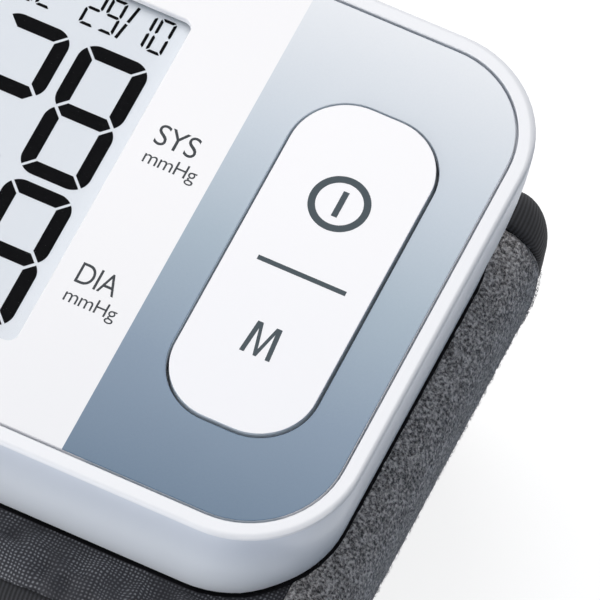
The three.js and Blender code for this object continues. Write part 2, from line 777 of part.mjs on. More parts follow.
function makeCurl() {
  const sheet = cuffStrip(curlShares, () => bandLoop(curlDepth, curlDepth + cuff.curl, innerHalf));
  return shaped(sheet, { cut: [nippleBore()] });
}

function makeBladder() {
  const bag = cuffStrip(bladderShares, (turn) => (
    padLoop(bladderDepth, cuffThickness(turn) - cuff.lining - gap, innerHalf, cuff.curl)
  ));
  const root = cuffTop - bladderDepth - cuff.curl;
  return joined(bag, rodZ(manifold.x, 0, root, coverTop + nipple.rise, nipple.radius));
}

function makeLining() {
  return cuffStrip(coverShares, (turn) => {
    const inner = cuffThickness(turn);
    return padLoop(inner - cuff.lining, inner, innerHalf - gap, cuff.lining / 2);
  });
}

// Flap: the free end of the cuff, which closes over the tail on the left-hand side
const flapStart = (() => {
  const [x0, z0] = cuffPoint(coverShares[1]);
  const [x1, z1] = cuffPoint(coverShares[1] + gridShares[2]);
  return coverShares[1] + flap.jointGap * gridShares[2] / Math.hypot(x1 - x0, z1 - z0);
})();
const flapShares = [flapStart, flapEndShare];
const flapHalf = cuffHalf - flap.border;
const hookDepth = flap.depth + gap;
const tailDepth = hookDepth + hook.thickness + gap;

function makeFlapCover() {
  return cuffStrip(flapShares, () => channelLoop(0, flap.depth, flapHalf, flap.edge, flap.shell));
}

function makeFlapPad() {
  return cuffStrip(flapShares, () => (
    padLoop(flap.shell + gap, flap.depth, flapHalf - flap.edge - gap, flap.shell)
  ));
}

function makeHook() {
  const half = flapHalf - hook.border;
  return cuffStrip(hookShares, () => bandLoop(hookDepth, hookDepth + hook.thickness, half));
}

function makeTail() {
  return cuffStrip(tailShares, () => (
    padLoop(tailDepth, tailDepth + tail.thickness, cuffHalf - tail.border, tail.thickness / 2)
  ));
}

function makePullTab() {
  return cuffStrip(tabShares, () => bandLoop(-gap - pullTab.thickness, -gap, pullTab.width / 2));
}

piece('upper_case', makeUpperCase(), 'whiteShell');
piece('front_panel', makeFrontPanel(), 'printedPanel');
piece('display_lens', makeLens(), 'clearLens');
piece('display_glass', atGlass(0, glassBottom, glassTop), 'displayGlass');
piece('display_holder', makeHolder(), 'whiteInner');
piece('contact_strip_lower', makeStrip(-1), 'blackRubber');
piece('contact_strip_upper', makeStrip(1), 'blackRubber');
piece('rocker_key', makeKey(), 'whiteShell');
piece('power_switch', makeSwitch(1), 'darkMoulding');
piece('memory_switch', makeSwitch(-1), 'darkMoulding');
piece('circuit_board', makeBoard(), 'board');
piece(
  'controller_chip',
  slab(chip.x, 0, boardTop + gap, boardTop + gap + chip.height, chip.size, chip.size),
  'darkMoulding',
);
piece('back_cover', makeBackCover(), 'whiteShell');
piece('battery_door', makeDoor(), 'whiteShell');
piece('battery_cell_1', makeCell(cellPlaces[0], 1), 'cellSleeve');
piece('battery_cell_2', makeCell(cellPlaces[1], -1), 'cellSleeve');
piece('contact_minus', makeContact(cellPlaces[0], cellPlaces[0], -1), 'brightMetal');
piece('contact_plus', makeContact(cellPlaces[1], cellPlaces[1], -1), 'brightMetal');
piece('contact_link', makeContact(cellPlaces[0], cellPlaces[1], 1), 'brightMetal');
piece('battery_spring_1', makeSpring(cellPlaces[0], 1), 'brightMetal');
piece('battery_spring_2', makeSpring(cellPlaces[1], -1), 'brightMetal');
postPlaces.forEach((place, i) => piece(`case_screw_${i + 1}`, makeScrew(place), 'brightMetal'));
piece('pump_motor', makePumpMotor(), 'brightMetal');
piece('pump_head', makePumpHead(), 'darkMoulding');
piece('exhaust_valve', makeValve(), 'darkMoulding');
piece('pressure_sensor', makeSensor(), 'whiteInner');
piece('air_manifold', makeManifold(), 'darkMoulding');
piece('pump_hose', makeHoseX(), 'clearHose');
piece('valve_hose', makeHoseY(1), 'clearHose');
piece('sensor_hose', makeHoseY(-1), 'clearHose');
piece('cuff_hose', makeCuffHose(), 'clearHose');
piece('buzzer', makeBuzzer(), 'darkMoulding');
piece('cuff_plate', makeCuffPlate(), 'whiteInner');
piece('cuff_cover', makeCover(), 'wovenCover');
piece('cuff_felt', makeFelt(), 'loopFelt');
piece('cuff_curl', makeCurl(), 'curl');
piece('air_bladder', makeBladder(), 'blackRubber');
piece('cuff_lining', makeLining(), 'lining');
piece('flap_cover', makeFlapCover(), 'wovenCover');
piece('flap_pad', makeFlapPad(), 'lining');
piece('hook_patch', makeHook(), 'wovenCover');
piece('closing_tail', makeTail(), 'loopFelt');
piece('pull_tab', makePullTab(), 'blackRubber');

export default model;
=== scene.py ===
"""Looks of a wrist blood pressure monitor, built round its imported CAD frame.

Metres, +Z up, in the CAD's own frame: z = 0 is the table under the cuff, +Y is up on the display
and +X its right-hand side. Sizes below are written in millimetres and scaled by MM.
"""
import logging
import math
from collections.abc import Callable, Iterator, Sequence
from contextlib import contextmanager
from dataclasses import dataclass
from enum import Enum
from functools import cache
from typing import Any

import bmesh
import bpy
import numpy as np
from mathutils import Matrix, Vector


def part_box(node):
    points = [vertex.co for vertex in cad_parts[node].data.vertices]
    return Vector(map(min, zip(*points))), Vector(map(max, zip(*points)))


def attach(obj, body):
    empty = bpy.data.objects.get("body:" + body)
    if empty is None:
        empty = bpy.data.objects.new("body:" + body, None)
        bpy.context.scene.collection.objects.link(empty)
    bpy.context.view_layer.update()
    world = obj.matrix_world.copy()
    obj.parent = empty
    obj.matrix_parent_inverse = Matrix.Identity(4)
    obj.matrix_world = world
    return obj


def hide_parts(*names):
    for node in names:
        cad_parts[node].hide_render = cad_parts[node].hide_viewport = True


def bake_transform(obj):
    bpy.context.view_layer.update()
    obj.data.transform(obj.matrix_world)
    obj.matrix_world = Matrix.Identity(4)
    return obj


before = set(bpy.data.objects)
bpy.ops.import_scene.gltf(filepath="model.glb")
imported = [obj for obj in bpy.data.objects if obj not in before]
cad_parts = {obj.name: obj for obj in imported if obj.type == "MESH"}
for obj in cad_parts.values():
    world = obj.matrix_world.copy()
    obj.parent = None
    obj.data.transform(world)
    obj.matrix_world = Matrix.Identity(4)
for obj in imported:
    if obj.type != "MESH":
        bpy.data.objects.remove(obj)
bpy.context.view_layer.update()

log = logging.getLogger("monitor")

MM = 0.001
MONITOR, KEY, DOOR, FLAP = "monitor", "rocker_key", "battery_door", "cuff_flap"
UV_NAME = "cloth"
WELD = 0.0005 * MM  # points closer than this become one
CREASE = 35.0  # edges sharper than this, in degrees, stay sharp

Array = np.ndarray
Profile = Callable[[Array], Array]
Colour = tuple[float, float, float, float]
Socket = bpy.types.NodeSocket
Object = bpy.types.Object
Inputs = dict[int | str, Any]


def srgb(red: float, green: float, blue: float) -> Colour:
    """The linear colour of three screen values from 0 to 255."""
    values = np.array([red, green, blue]) / 255
    linear = np.where(values <= 0.04045, values / 12.92, ((values + 0.055) / 1.055) ** 2.4)
    return (*(float(x) for x in linear), 1.0)


def climb(value: Array, low: float, high: float) -> Array:
    """0 below low, 1 above high and even between them."""
    return np.clip((value - low) / (high - low), 0, 1)


def ease(share: Array) -> Array:
    """A share from 0 to 1 with a soft start and end."""
    return share * share * (3 - 2 * share)


# ---------------------------------------------------------------- shader tools
class Wire:
    """An output socket on which sums, products and powers are written as Python expressions."""

    def __init__(self, shade: "Shade", socket: Socket) -> None:
        self.shade, self.socket = shade, socket

    def _math(self, operation: str, first: "Wire | float", second: "Wire | float" = 0.0) -> "Wire":
        """Adds one Math node and returns its result."""
        return self.shade.wire("ShaderNodeMath", {"operation": operation}, {0: first, 1: second})

    def __add__(self, other: "Wire | float") -> "Wire":
        return self._math("ADD", self, other)

    def __sub__(self, other: "Wire | float") -> "Wire":
        return self._math("SUBTRACT", self, other)

    def __rsub__(self, other: float) -> "Wire":
        return self._math("SUBTRACT", other, self)

    def __mul__(self, other: "Wire | float") -> "Wire":
        return self._math("MULTIPLY", self, other)

    def __pow__(self, other: "Wire | float") -> "Wire":
        return self._math("POWER", self, other)

    __radd__ = __add__
    __rmul__ = __mul__

    def size(self) -> "Wire":
        """The value without its sign."""
        return self._math("ABSOLUTE", self)

    def most(self, other: "Wire | float") -> "Wire":
        """The larger of two values."""
        return self._math("MAXIMUM", self, other)

    def swing(self, pitch: float) -> "Wire":
        """The value's cosine, once round per pitch."""
        return self._math("COSINE", self * (2 * math.pi / pitch))

    def ribs(self, pitch: float) -> "Wire":
        """The same, raised to lie between 0 and 1."""
        return self.swing(pitch) * 0.5 + 0.5


class Shade:
    """One material's node tree, with the calls that the finishes are written in."""

    def __init__(self, name: str, world: bool = False) -> None:
        self.owner = (bpy.data.worlds if world else bpy.data.materials).new(name)
        self.owner.use_nodes = True
        self.tree = self.owner.node_tree
        self.tree.nodes.clear()

    def add(self, kind: str, settings: dict[str, Any], inputs: Inputs) -> bpy.types.Node:
        """Adds a node.

        Args:
            kind: the node's type.
            settings: its properties, set before its sockets.
            inputs: the value or link of each socket, by its name or number.

        Returns:
            The node.
        """
        node = self.tree.nodes.new(kind)
        for name, value in settings.items():
            setattr(node, name, value)
        for name, value in inputs.items():
            source = value.socket if isinstance(value, Wire) else value
            if isinstance(source, Socket):
                self.tree.links.new(source, node.inputs[name])
            else:
                node.inputs[name].default_value = source
        return node

    def wire(self, kind: str, settings: dict[str, Any], inputs: Inputs) -> Wire:
        """Adds a node and returns its first output."""
        return Wire(self, self.add(kind, settings, inputs).outputs[0])

    def place(self) -> Socket:
        """The object's own coordinates, in metres."""
        return self.add("ShaderNodeTexCoord", {}, {}).outputs["Object"]

    def cloth(self) -> Socket:
        """The piece's cloth map: metres along and across the cloth."""
        return self.add("ShaderNodeUVMap", {"uv_map": UV_NAME}, {}).outputs[0]

    def parts(self, vector: Socket) -> list[Wire]:
        """The three numbers of a vector."""
        node = self.add("ShaderNodeSeparateXYZ", {}, {0: vector})
        return [Wire(self, socket) for socket in node.outputs]

    def turned(self, vector: Socket, scale: Sequence[float], turn: float = 0.0) -> Socket:
        """A vector stretched along its axes after a turn about Z, in degrees."""
        inputs = {"Vector": vector, "Rotation": (0, 0, math.radians(turn)), "Scale": scale}
        return self.add("ShaderNodeMapping", {"vector_type": "TEXTURE"}, inputs).outputs[0]

    def noise(self, vector: Socket, grain: float, detail: float = 3, rough: float = 0.55) -> Wire:
        """Cloudy noise round 0.5.

        Args:
            vector: the coordinates.
            grain: the size of a cloud in metres.
            detail: how many finer layers it has.
            rough: how strong they are.

        Returns:
            The noise.
        """
        inputs = {"Vector": vector, "Scale": 1 / grain, "Detail": detail, "Roughness": rough}
        return self.wire("ShaderNodeTexNoise", {}, inputs)

    def rise(self, value: Wire, low: float, high: float) -> Wire:
        """0 below low, 1 above high, and a smooth step between them."""
        settings = {"interpolation_type": "SMOOTHSTEP"}
        return self.wire("ShaderNodeMapRange", settings, {0: value, 1: low, 2: high})

    def mix(self, share: Wire | float, first: Any, second: Any) -> Socket:
        """The first colour where share is 0, the second where it is 1."""
        inputs = {0: share, 6: first, 7: second}
        return self.add("ShaderNodeMix", {"data_type": "RGBA"}, inputs).outputs[2]

    def ramp(self, value: Wire, stops: Sequence[tuple[float, Colour]]) -> Socket:
        """A colour looked up along (place, colour) stops."""
        node = self.add("ShaderNodeValToRGB", {}, {0: value})
        elements = node.color_ramp.elements
        while len(elements) < len(stops):
            elements.new(1.0)
        for element, (place, colour) in zip(elements, stops):
            element.position, element.color = place, colour
        return node.outputs[0]

    def bump(self, height: Wire, depth: float) -> Socket:
        """A normal bent by a height from 0 to 1, which is that many metres high."""
        return self.wire("ShaderNodeBump", {}, {"Height": height, "Distance": depth}).socket

    def end(self, kind: str, surface: bpy.types.Node) -> Any:
        """Ends the tree in an output node, and returns the material or world."""
        self.add(kind, {}, {"Surface": surface.outputs[0]})
        return self.owner


# ---------------------------------------------------------------- finishes
@dataclass(frozen=True)
class Finish:
    """A material that is made once. Each kind says in draw what its Principled shader is fed."""

    name: str

    @cache
    def make(self) -> bpy.types.Material:
        """The material."""
        shade = Shade(self.name)
        shader = shade.add("ShaderNodeBsdfPrincipled", {}, self.draw(shade))
        return shade.end("ShaderNodeOutputMaterial", shader)

    def draw(self, shade: Shade) -> Inputs:
        """The shader's inputs by name."""
        raise NotImplementedError

    @staticmethod
    def gloss(grain: Wire, roughness: float) -> Wire:
        """A roughness that a grain shifts by 0.05 each way."""
        return grain * 0.1 + (roughness - 0.05)


@dataclass(frozen=True)
class Moulding(Finish):
    """A moulded plastic or rubber skin: two close tones, a fine grain and a little sheen."""

    tone: Colour
    other: Colour
    roughness: float
    grain: float
    depth: float
    specular: float = 0.5

    def draw(self, shade: Shade) -> Inputs:
        """Clouds and a fine grain mix the two tones."""
        place = shade.place()
        fine = shade.noise(place, self.grain, 2)
        blend = shade.noise(place, 14 * MM, 2) * 0.7 + fine * 0.3
        return {
            "Base Color": shade.mix(shade.rise(blend, 0.3, 0.7), self.tone, self.other),
            "Roughness": self.gloss(fine, self.roughness),
            "Specular IOR Level": self.specular,
            "Normal": shade.bump(fine, self.depth),
        }


@dataclass(frozen=True)
class ShellMoulding(Finish):
    """The glossy white case skin: cool painted shade under the rim, painted light towards the foot.
    """

    rim: Colour = srgb(239, 240, 243)
    # painted shade on the top of the flanks, just under the rim
    shoulder: Colour = srgb(214, 220, 230)
    # painted light on the lower flanks, paler than the rim
    foot: Colour = srgb(246, 250, 255)
    # heights where painted light turns to painted shade, and where that steps sharply to the rim's
    # tone
    shading_heights: tuple[float, float, float] = (62 * MM, 75.38 * MM, 75.5 * MM)

    def draw(self, shade: Shade) -> Inputs:
        """The tone follows the height: painted shade under the rim, painted light towards the foot.
        """
        place = shade.place()
        up = shade.parts(place)[2]
        fine = shade.noise(place, 0.2 * MM, 2)
        low, middle, high = self.shading_heights
        flank = shade.mix(shade.rise(up, low, middle), self.foot, self.shoulder)
        return {
            "Base Color": shade.mix(shade.rise(up, middle, high), flank, self.rim),
            "Roughness": self.gloss(fine, 0.31),
            "Coat Weight": 0.1,
            "Coat Roughness": 0.12,
            "Normal": shade.bump(fine, 0.002 * MM),
        }


@dataclass(frozen=True)
class SidedMoulding(Finish):
    """The key's white cap: painted shade lower down, cooler painted shade on flanks below the top
    edge.
    """

    # top and low: the cap's face, with painted shade towards the bottom
    top: Colour = srgb(251, 250, 251)
    low: Colour = srgb(244, 244, 247)
    # painted shade on the flanks, seen in the gap round the key
    flank: Colour = srgb(212, 220, 227)
    edge: float = 76.17 * MM

    def draw(self, shade: Shade) -> Inputs:
        """Painted shade darkens the skin down the face, and the flanks' painted shade starts at the
        edge.
        """
        place = shade.place()
        _, along, up = shade.parts(place)
        fine = shade.noise(place, 0.22 * MM, 2)
        skin = shade.mix(shade.rise(along, -26 * MM, 22 * MM), self.low, self.top)
        over = shade.rise(up, self.edge - 0.02 * MM, self.edge)
        return {
            "Base Color": shade.mix(over, self.flank, skin),
            "Roughness": self.gloss(fine, 0.34),
            "Normal": shade.bump(fine, 0.003 * MM),
        }


@dataclass(frozen=True)
class PanelPrint(Finish):
    """The front film: white on the left, a grey-blue band on the right that deepens downwards."""

    split: float = 8.44 * MM
    # white_top and white_low: painted shade, darker towards the bottom
    white_top: Colour = srgb(248, 247, 248)
    white_low: Colour = srgb(240, 240, 242)
    band: tuple[tuple[float, Colour], ...] = (
        (0.0, srgb(80, 108, 134)),
        (0.25, srgb(118, 139, 161)),
        (0.5, srgb(158, 175, 189)),
        (0.72, srgb(196, 206, 216)),
        (1.0, srgb(232, 235, 239)),
    )
    edge: float = 75.86 * MM
    # painted light on the film's cut edges, which lie in shade
    cut: Colour = srgb(250, 250, 252)
    # painted shade on the cut edge round the key
    key_gap_shade: Colour = srgb(216, 223, 230)
    key_middle: float = 22.7 * MM
    key_reach: float = 11 * MM

    def draw(self, shade: Shade) -> Inputs:
        """The band follows the height; the white has painted shade; cut edges are painted light,
        but shade at the key.
        """
        place = shade.place()
        across, along, up = shade.parts(place)
        fine = shade.noise(place, 0.2 * MM, 2, 0.7)
        cloud = shade.noise(place, 9 * MM, 2)
        fall = along * (1 / (66 * MM)) + 0.505 + (fine - 0.5) * 0.05 + (cloud - 0.5) * 0.03
        # the white's painted shade, darker towards the bottom
        fade = shade.rise(along, -34 * MM, 10 * MM)
        white = shade.mix(fade, self.white_low, self.white_top)
        side = shade.rise(across, self.split - 0.03 * MM, self.split + 0.03 * MM)
        face = shade.mix(side, white, shade.ramp(fall, self.band))
        far = (across - self.key_middle).size()
        away = shade.rise(far, self.key_reach, self.key_reach + 1 * MM)
        # painted light on the cut edges, and painted shade on those round the key
        cut = shade.mix(away, self.key_gap_shade, self.cut)
        over = shade.rise(up, self.edge - 0.02 * MM, self.edge)
        return {
            "Base Color": shade.mix(over, cut, face),
            "Roughness": fine * 0.12 + 0.3,
            "Normal": shade.bump(fine, 0.002 * MM),
        }


@dataclass(frozen=True)
class ClearPlastic(Finish):
    """A clear part, as a thin tinted veil with gloss."""

    tint: Colour
    veil: float
    roughness: float = 0.06

    def draw(self, shade: Shade) -> Inputs:
        """A cloud shifts the tint and the veil."""
        cloud = shade.noise(shade.place(), 6 * MM, 2)
        return {
            "Base Color": shade.mix(cloud * 0.4, self.tint, srgb(255, 255, 255)),
            "Roughness": cloud * 0.04 + self.roughness,
            "Alpha": cloud * (0.3 * self.veil) + 0.85 * self.veil,
        }


@dataclass(frozen=True)
class LcdGround(Finish):
    """The display's pale ground with a faint grain, and the glass's darker sides."""

    tone: Colour = srgb(225, 229, 234)
    other: Colour = srgb(216, 222, 229)
    side: Colour = srgb(96, 104, 114)
    edge: float = 74.3 * MM

    def draw(self, shade: Shade) -> Inputs:
        """Clouds and a grain mix the ground's two tones above the edge."""
        place = shade.place()
        up = shade.parts(place)[2]
        fine = shade.noise(place, 0.5 * MM, 2)
        cloud = shade.noise(place, 22 * MM, 1)
        face = shade.mix(cloud * 0.7 + fine * 0.3, self.tone, self.other)
        over = shade.rise(up, self.edge, self.edge + 0.05 * MM)
        return {
            "Base Color": shade.mix(over, self.side, face),
            "Roughness": self.gloss(fine, 0.45),
        }


@dataclass(frozen=True)
class Ink(Finish):
    """A printed or liquid-crystal mark, or a thread, of one tone with a trace of grain."""

    tone: Colour
    other: Colour
    roughness: float = 0.5
    specular: float = 0.12

    def draw(self, shade: Shade) -> Inputs:
        """A fine grain mixes the two tones."""
        fine = shade.noise(shade.place(), 0.3 * MM, 2)
        return {
            "Base Color": shade.mix(fine, self.tone, self.other),
            "Roughness": self.gloss(fine, self.roughness),
            "Specular IOR Level": self.specular,
        }


@dataclass(frozen=True)
class Weave(Finish):
    """A fine black mesh cloth: a square grid of threads with a light dot in each opening."""

    thread: Colour = srgb(34, 34, 38)
    fibre: Colour = srgb(58, 58, 63)
    dot: Colour = srgb(166, 167, 172)
    pitch: float = 0.46 * MM
    depth: float = 0.05 * MM

    def draw(self, shade: Shade) -> Inputs:
        """Dots are the product of two raised cosines of the cloth map, bent by a slow drift."""
        cloth = shade.cloth()
        along, across, _ = shade.parts(cloth)
        drift = shade.noise(cloth, 3.4 * MM) * (2.2 * self.pitch)
        warp, weft = (along + drift).ribs(self.pitch), (across - drift).ribs(self.pitch)
        dots = (warp * weft) ** 1.6
        worn = shade.noise(cloth, 5 * MM, 3, 0.6)
        fibre = shade.noise(shade.turned(cloth, (6, 1, 1)), 0.12 * MM, 2)
        shown = dots * (shade.rise(worn, 0.32, 0.68) * 0.75 + 0.25) * (fibre * 0.9 + 0.5)
        tone = shade.mix(fibre, self.thread, self.fibre)
        return {
            "Base Color": shade.mix(shown, tone, self.dot),
            "Roughness": 0.92 - dots * 0.2,
            "Sheen Weight": 0.15,
            "Normal": shade.bump(warp.most(weft) * 0.7 + fibre * 0.3, self.depth),
        }


@dataclass(frozen=True)
class Felt(Finish):
    """Brushed loop cloth: charcoal with tangled pale and dark fibres."""

    pale: Colour = srgb(240, 233, 229)
    stops: tuple[tuple[float, Colour], ...] = (
        (0.415, srgb(43, 41, 41)),
        (0.49, srgb(135, 129, 126)),
        (0.585, srgb(240, 233, 229)),
    )
    depth: float = 0.4 * MM

    def draw(self, shade: Shade) -> Inputs:
        """Three sizes of noise make the tufts, and three turns of a stretched one the fibres."""
        cloth = shade.cloth()
        patch, tuft, grain = (
            shade.noise(cloth, size * MM, detail, 0.6)
            for size, detail in ((3.2, 3), (0.9, 2), (0.42, 2))
        )
        fibres = [
            shade.rise(shade.noise(shade.turned(cloth, (4, 1, 1), turn), 0.22 * MM, 1), 0.54, 0.68)
            for turn in (18, 78, 139)
        ]
        tangle = fibres[0].most(fibres[1]).most(fibres[2])
        level = patch * 0.16 + tuft * 0.26 + grain * 0.58
        return {
            "Base Color": shade.mix(tangle * 0.35, shade.ramp(level, self.stops), self.pale),
            "Roughness": 1.0,
            "Sheen Weight": 0.25,
            "Sheen Roughness": 0.6,
            "Normal": shade.bump(level * 0.7 + tangle * 0.3, self.depth),
        }


@dataclass(frozen=True)
class Ribbed(Finish):
    """A woven edge tape with fine ribs across its length."""

    low: Colour = srgb(16, 16, 19)
    high: Colour = srgb(45, 46, 51)
    pitch: float = 0.5 * MM
    twist: float = 0.4 * MM
    depth: float = 0.07 * MM

    def draw(self, shade: Shade) -> Inputs:
        """Ribs are a raised cosine of the length, broken by the thread's twist."""
        cloth = shade.cloth()
        along, across, _ = shade.parts(cloth)
        wander = shade.noise(shade.turned(cloth, (1, 6, 1)), 1.1 * MM)
        rib = (along + wander * (0.35 * self.pitch)).ribs(self.pitch)
        level = rib * 0.75 + across.ribs(self.twist) * 0.1 + wander * 0.15
        return {
            "Base Color": shade.mix(level ** 1.5, self.low, self.high),
            "Roughness": 0.9 - rib * 0.15,
            "Normal": shade.bump(level, self.depth),
        }


@dataclass(frozen=True)
class Knit(Finish):
    """A soft knitted lining: rows of small V stitches."""

    low: Colour = srgb(30, 31, 34)
    high: Colour = srgb(74, 76, 81)
    pitch: float = 0.8 * MM
    depth: float = 0.08 * MM

    def draw(self, shade: Shade) -> Inputs:
        """Each wale leans its courses one way on its left and the other on its right."""
        cloth = shade.cloth()
        along, across, _ = shade.parts(cloth)
        wale = across.swing(self.pitch).size()
        course = (along + wale * (0.35 * self.pitch)).ribs(self.pitch / 1.2)
        worn = shade.noise(cloth, 4 * MM)
        level = (wale * 0.5 + course * 0.5) * (worn * 0.5 + 0.6)
        return {
            "Base Color": shade.mix(level, self.low, self.high),
            "Roughness": 0.95 - level * 0.1,
            "Sheen Weight": 0.3,
            "Normal": shade.bump(level, self.depth),
        }


@dataclass(frozen=True)
class Metal(Finish):
    """Plated or drawn metal with brushed streaks."""

    tone: Colour = srgb(205, 207, 210)
    other: Colour = srgb(168, 170, 175)
    roughness: float = 0.28

    def draw(self, shade: Shade) -> Inputs:
        """Streaks run along the piece."""
        streak = shade.noise(shade.turned(shade.place(), (1, 14, 1)), 0.25 * MM)
        return {
            "Base Color": shade.mix(streak, self.tone, self.other),
            "Metallic": 0.96,
            "Roughness": streak * 0.18 + (self.roughness - 0.09),
            "Normal": shade.bump(streak, 0.004 * MM),
        }


@dataclass(frozen=True)
class CircuitBoard(Finish):
    """A green solder mask with darker tracks under it and tinned pads."""

    mask: Colour = srgb(38, 104, 68)
    track: Colour = srgb(24, 78, 50)
    pad: Colour = srgb(198, 200, 202)
    pitch: float = 2.54 * MM

    def draw(self, shade: Shade) -> Inputs:
        """Tracks run where one of two cosines is high, and pads sit where both are."""
        place = shade.place()
        across, along, _ = shade.parts(place)
        cross, down = across.swing(self.pitch), along.swing(self.pitch)
        zone = shade.rise(shade.noise(place, 7 * MM, 1), 0.48, 0.52)
        tracks = shade.rise(cross, 0.2, 0.4) * zone + shade.rise(down, 0.2, 0.4) * (1 - zone)
        some = shade.rise(shade.noise(place, 9 * MM, 1), 0.5, 0.52)
        pads = shade.rise(cross + down, 1.72, 1.8) * some
        return {
            "Base Color": shade.mix(pads, shade.mix(tracks, self.mask, self.track), self.pad),
            "Metallic": pads * 0.9,
            "Roughness": 0.38 - pads * 0.1,
            "Normal": shade.bump(tracks.most(pads), 0.03 * MM),
        }


@dataclass(frozen=True)
class Sleeve(Finish):
    """A dry cell: a printed sleeve with a band at one end, and bare steel at both."""

    start: float
    way: float
    length: float
    body: Colour = srgb(40, 52, 72)
    band: Colour = srgb(196, 176, 122)
    steel: Colour = srgb(205, 207, 210)

    def draw(self, shade: Shade) -> Inputs:
        """Bands are steps of the distance along the cell."""
        place = shade.place()
        travel = (shade.parts(place)[1] - self.start) * (self.way / self.length)
        banded = shade.rise(travel, 0.74, 0.745)
        bare = (1 - shade.rise(travel, 0.008, 0.012)) + shade.rise(travel, 0.99, 0.994)
        fine = shade.noise(shade.turned(place, (12, 1, 1)), 0.3 * MM, 2)
        sleeve = shade.mix(banded, self.body, self.band)
        return {
            "Base Color": shade.mix(bare, sleeve, self.steel),
            "Metallic": bare * 0.7 + 0.25,
            "Roughness": fine * 0.15 + 0.25,
        }


def moulding(
    name: str, light: tuple[int, int, int], dark: tuple[int, int, int],
    roughness: float, grain: float, depth: float, specular: float = 0.5,
) -> Moulding:
    """A moulding from two screen tones, with its grain and relief in millimetres."""
    tones = srgb(*light), srgb(*dark)
    return Moulding(name, *tones, roughness, grain * MM, depth * MM, specular)


WHITE_SHELL = ShellMoulding("white_shell")
WHITE_INNER = moulding("white_inner", (226, 229, 233), (214, 218, 223), 0.5, 0.3, 0.006)
DARK_MOULDING = moulding("dark_moulding", (46, 48, 52), (34, 36, 40), 0.5, 0.25, 0.01)
RUBBER = moulding("black_rubber", (40, 41, 44), (28, 29, 32), 0.72, 0.18, 0.01)
# near-black ring under the case's foot: painted shadow of the gap between wall and cuff
CONTACT_SHADOW_RING = moulding("foot_shadow_ring", (15, 15, 17), (21, 21, 24), 0.9, 0.2, 0.01, 0.1)
BLADDER_RUBBER = moulding("bladder_rubber", (54, 55, 58), (40, 41, 44), 0.6, 0.5, 0.02)
CURL_SHEET = moulding("curl_sheet", (190, 193, 197), (172, 176, 181), 0.45, 0.6, 0.01)
KEY_CAP = SidedMoulding("key_cap")
PANEL = PanelPrint("panel_print")
LENS = ClearPlastic("clear_lens", srgb(226, 234, 244), 0.002)
HOSE = ClearPlastic("clear_hose", srgb(226, 228, 222), 0.75, 0.3)
LCD = LcdGround("lcd_ground")
SEGMENT_INK = Ink("segment_ink", srgb(8, 8, 9), srgb(13, 13, 15), 0.8, 0.02)
PRINT_INK = Ink("print_ink", srgb(70, 74, 78), srgb(60, 64, 68))
KEY_INK = Ink("key_ink", srgb(80, 90, 95), srgb(72, 82, 88))
THREAD = Ink("thread", srgb(46, 47, 51), srgb(30, 31, 34), 0.85)
FIBRE = Ink("fibre", srgb(136, 138, 144), srgb(84, 85, 90), 1.0)
CUFF_WEAVE = Weave("cuff_mesh")
HOOK_TAPE = Weave(
    "hook_tape", srgb(30, 30, 33), dot=srgb(104, 105, 110), pitch=0.9 * MM, depth=0.25 * MM,
)
CUFF_FELT = Felt("loop_felt")
EDGE_TAPE = Ribbed("edge_tape")
LINING = Knit("lining")
METAL = Metal("bright_metal")
CAN_METAL = Metal("motor_can", srgb(190, 192, 196), srgb(150, 153, 158), 0.35)
BOARD = CircuitBoard("circuit_board")


# ---------------------------------------------------------------- meshes
def link_mesh(name: str, points: Array, faces: Sequence[Sequence[int]]) -> Object:
    """A new object at the origin from points (n, 3) and faces, linked to the scene."""
    mesh = bpy.data.meshes.new(name)
    mesh.from_pydata(points.tolist(), [], [list(map(int, face)) for face in faces])
    mesh.update()
    return link(bpy.data.objects.new(name, mesh))


def link(item: Object) -> Object:
    """Links an object to the scene."""
    bpy.context.scene.collection.objects.link(item)
    return item


def points_of(mesh: bpy.types.Mesh) -> Array:
    """The points of a mesh as (n, 3)."""
    points = np.empty(len(mesh.vertices) * 3, np.float32)
    mesh.vertices.foreach_get("co", points)
    return points.reshape(-1, 3)


def corners_of(mesh: bpy.types.Mesh) -> Array:
    """The point of each face corner."""
    corners = np.empty(len(mesh.loops), np.int32)
    mesh.loops.foreach_get("vertex_index", corners)
    return corners


def move_points(piece: Object, points: Array) -> None:
    """Puts a piece's points in new places."""
    piece.data.vertices.foreach_set("co", points.ravel())
    piece.data.update()


@contextmanager
def rework(piece: Object) -> Iterator[bmesh.types.BMesh]:
    """A piece's mesh, opened for editing and written back."""
    work = bmesh.new()
    work.from_mesh(piece.data)
    yield work
    work.to_mesh(piece.data)
    work.free()


def smooth(piece: Object, angle: float = 180.0) -> None:
    """Shades a piece smooth, with sharp edges above an angle in degrees."""
    mesh = piece.data
    mesh.polygons.foreach_set("use_smooth", np.ones(len(mesh.polygons), bool))
    if angle < 180:
        mesh.set_sharp_from_angle(angle=math.radians(angle))
    mesh.update()


def close_up(piece: Object, distance: float = WELD) -> None:
    """Merges a piece's doubled points, drops empty faces and turns its faces outwards."""
    with rework(piece) as work:
        bmesh.ops.remove_doubles(work, verts=work.verts, dist=distance)
        bmesh.ops.dissolve_degenerate(work, edges=work.edges, dist=distance)
        bmesh.ops.recalc_face_normals(work, faces=work.faces)


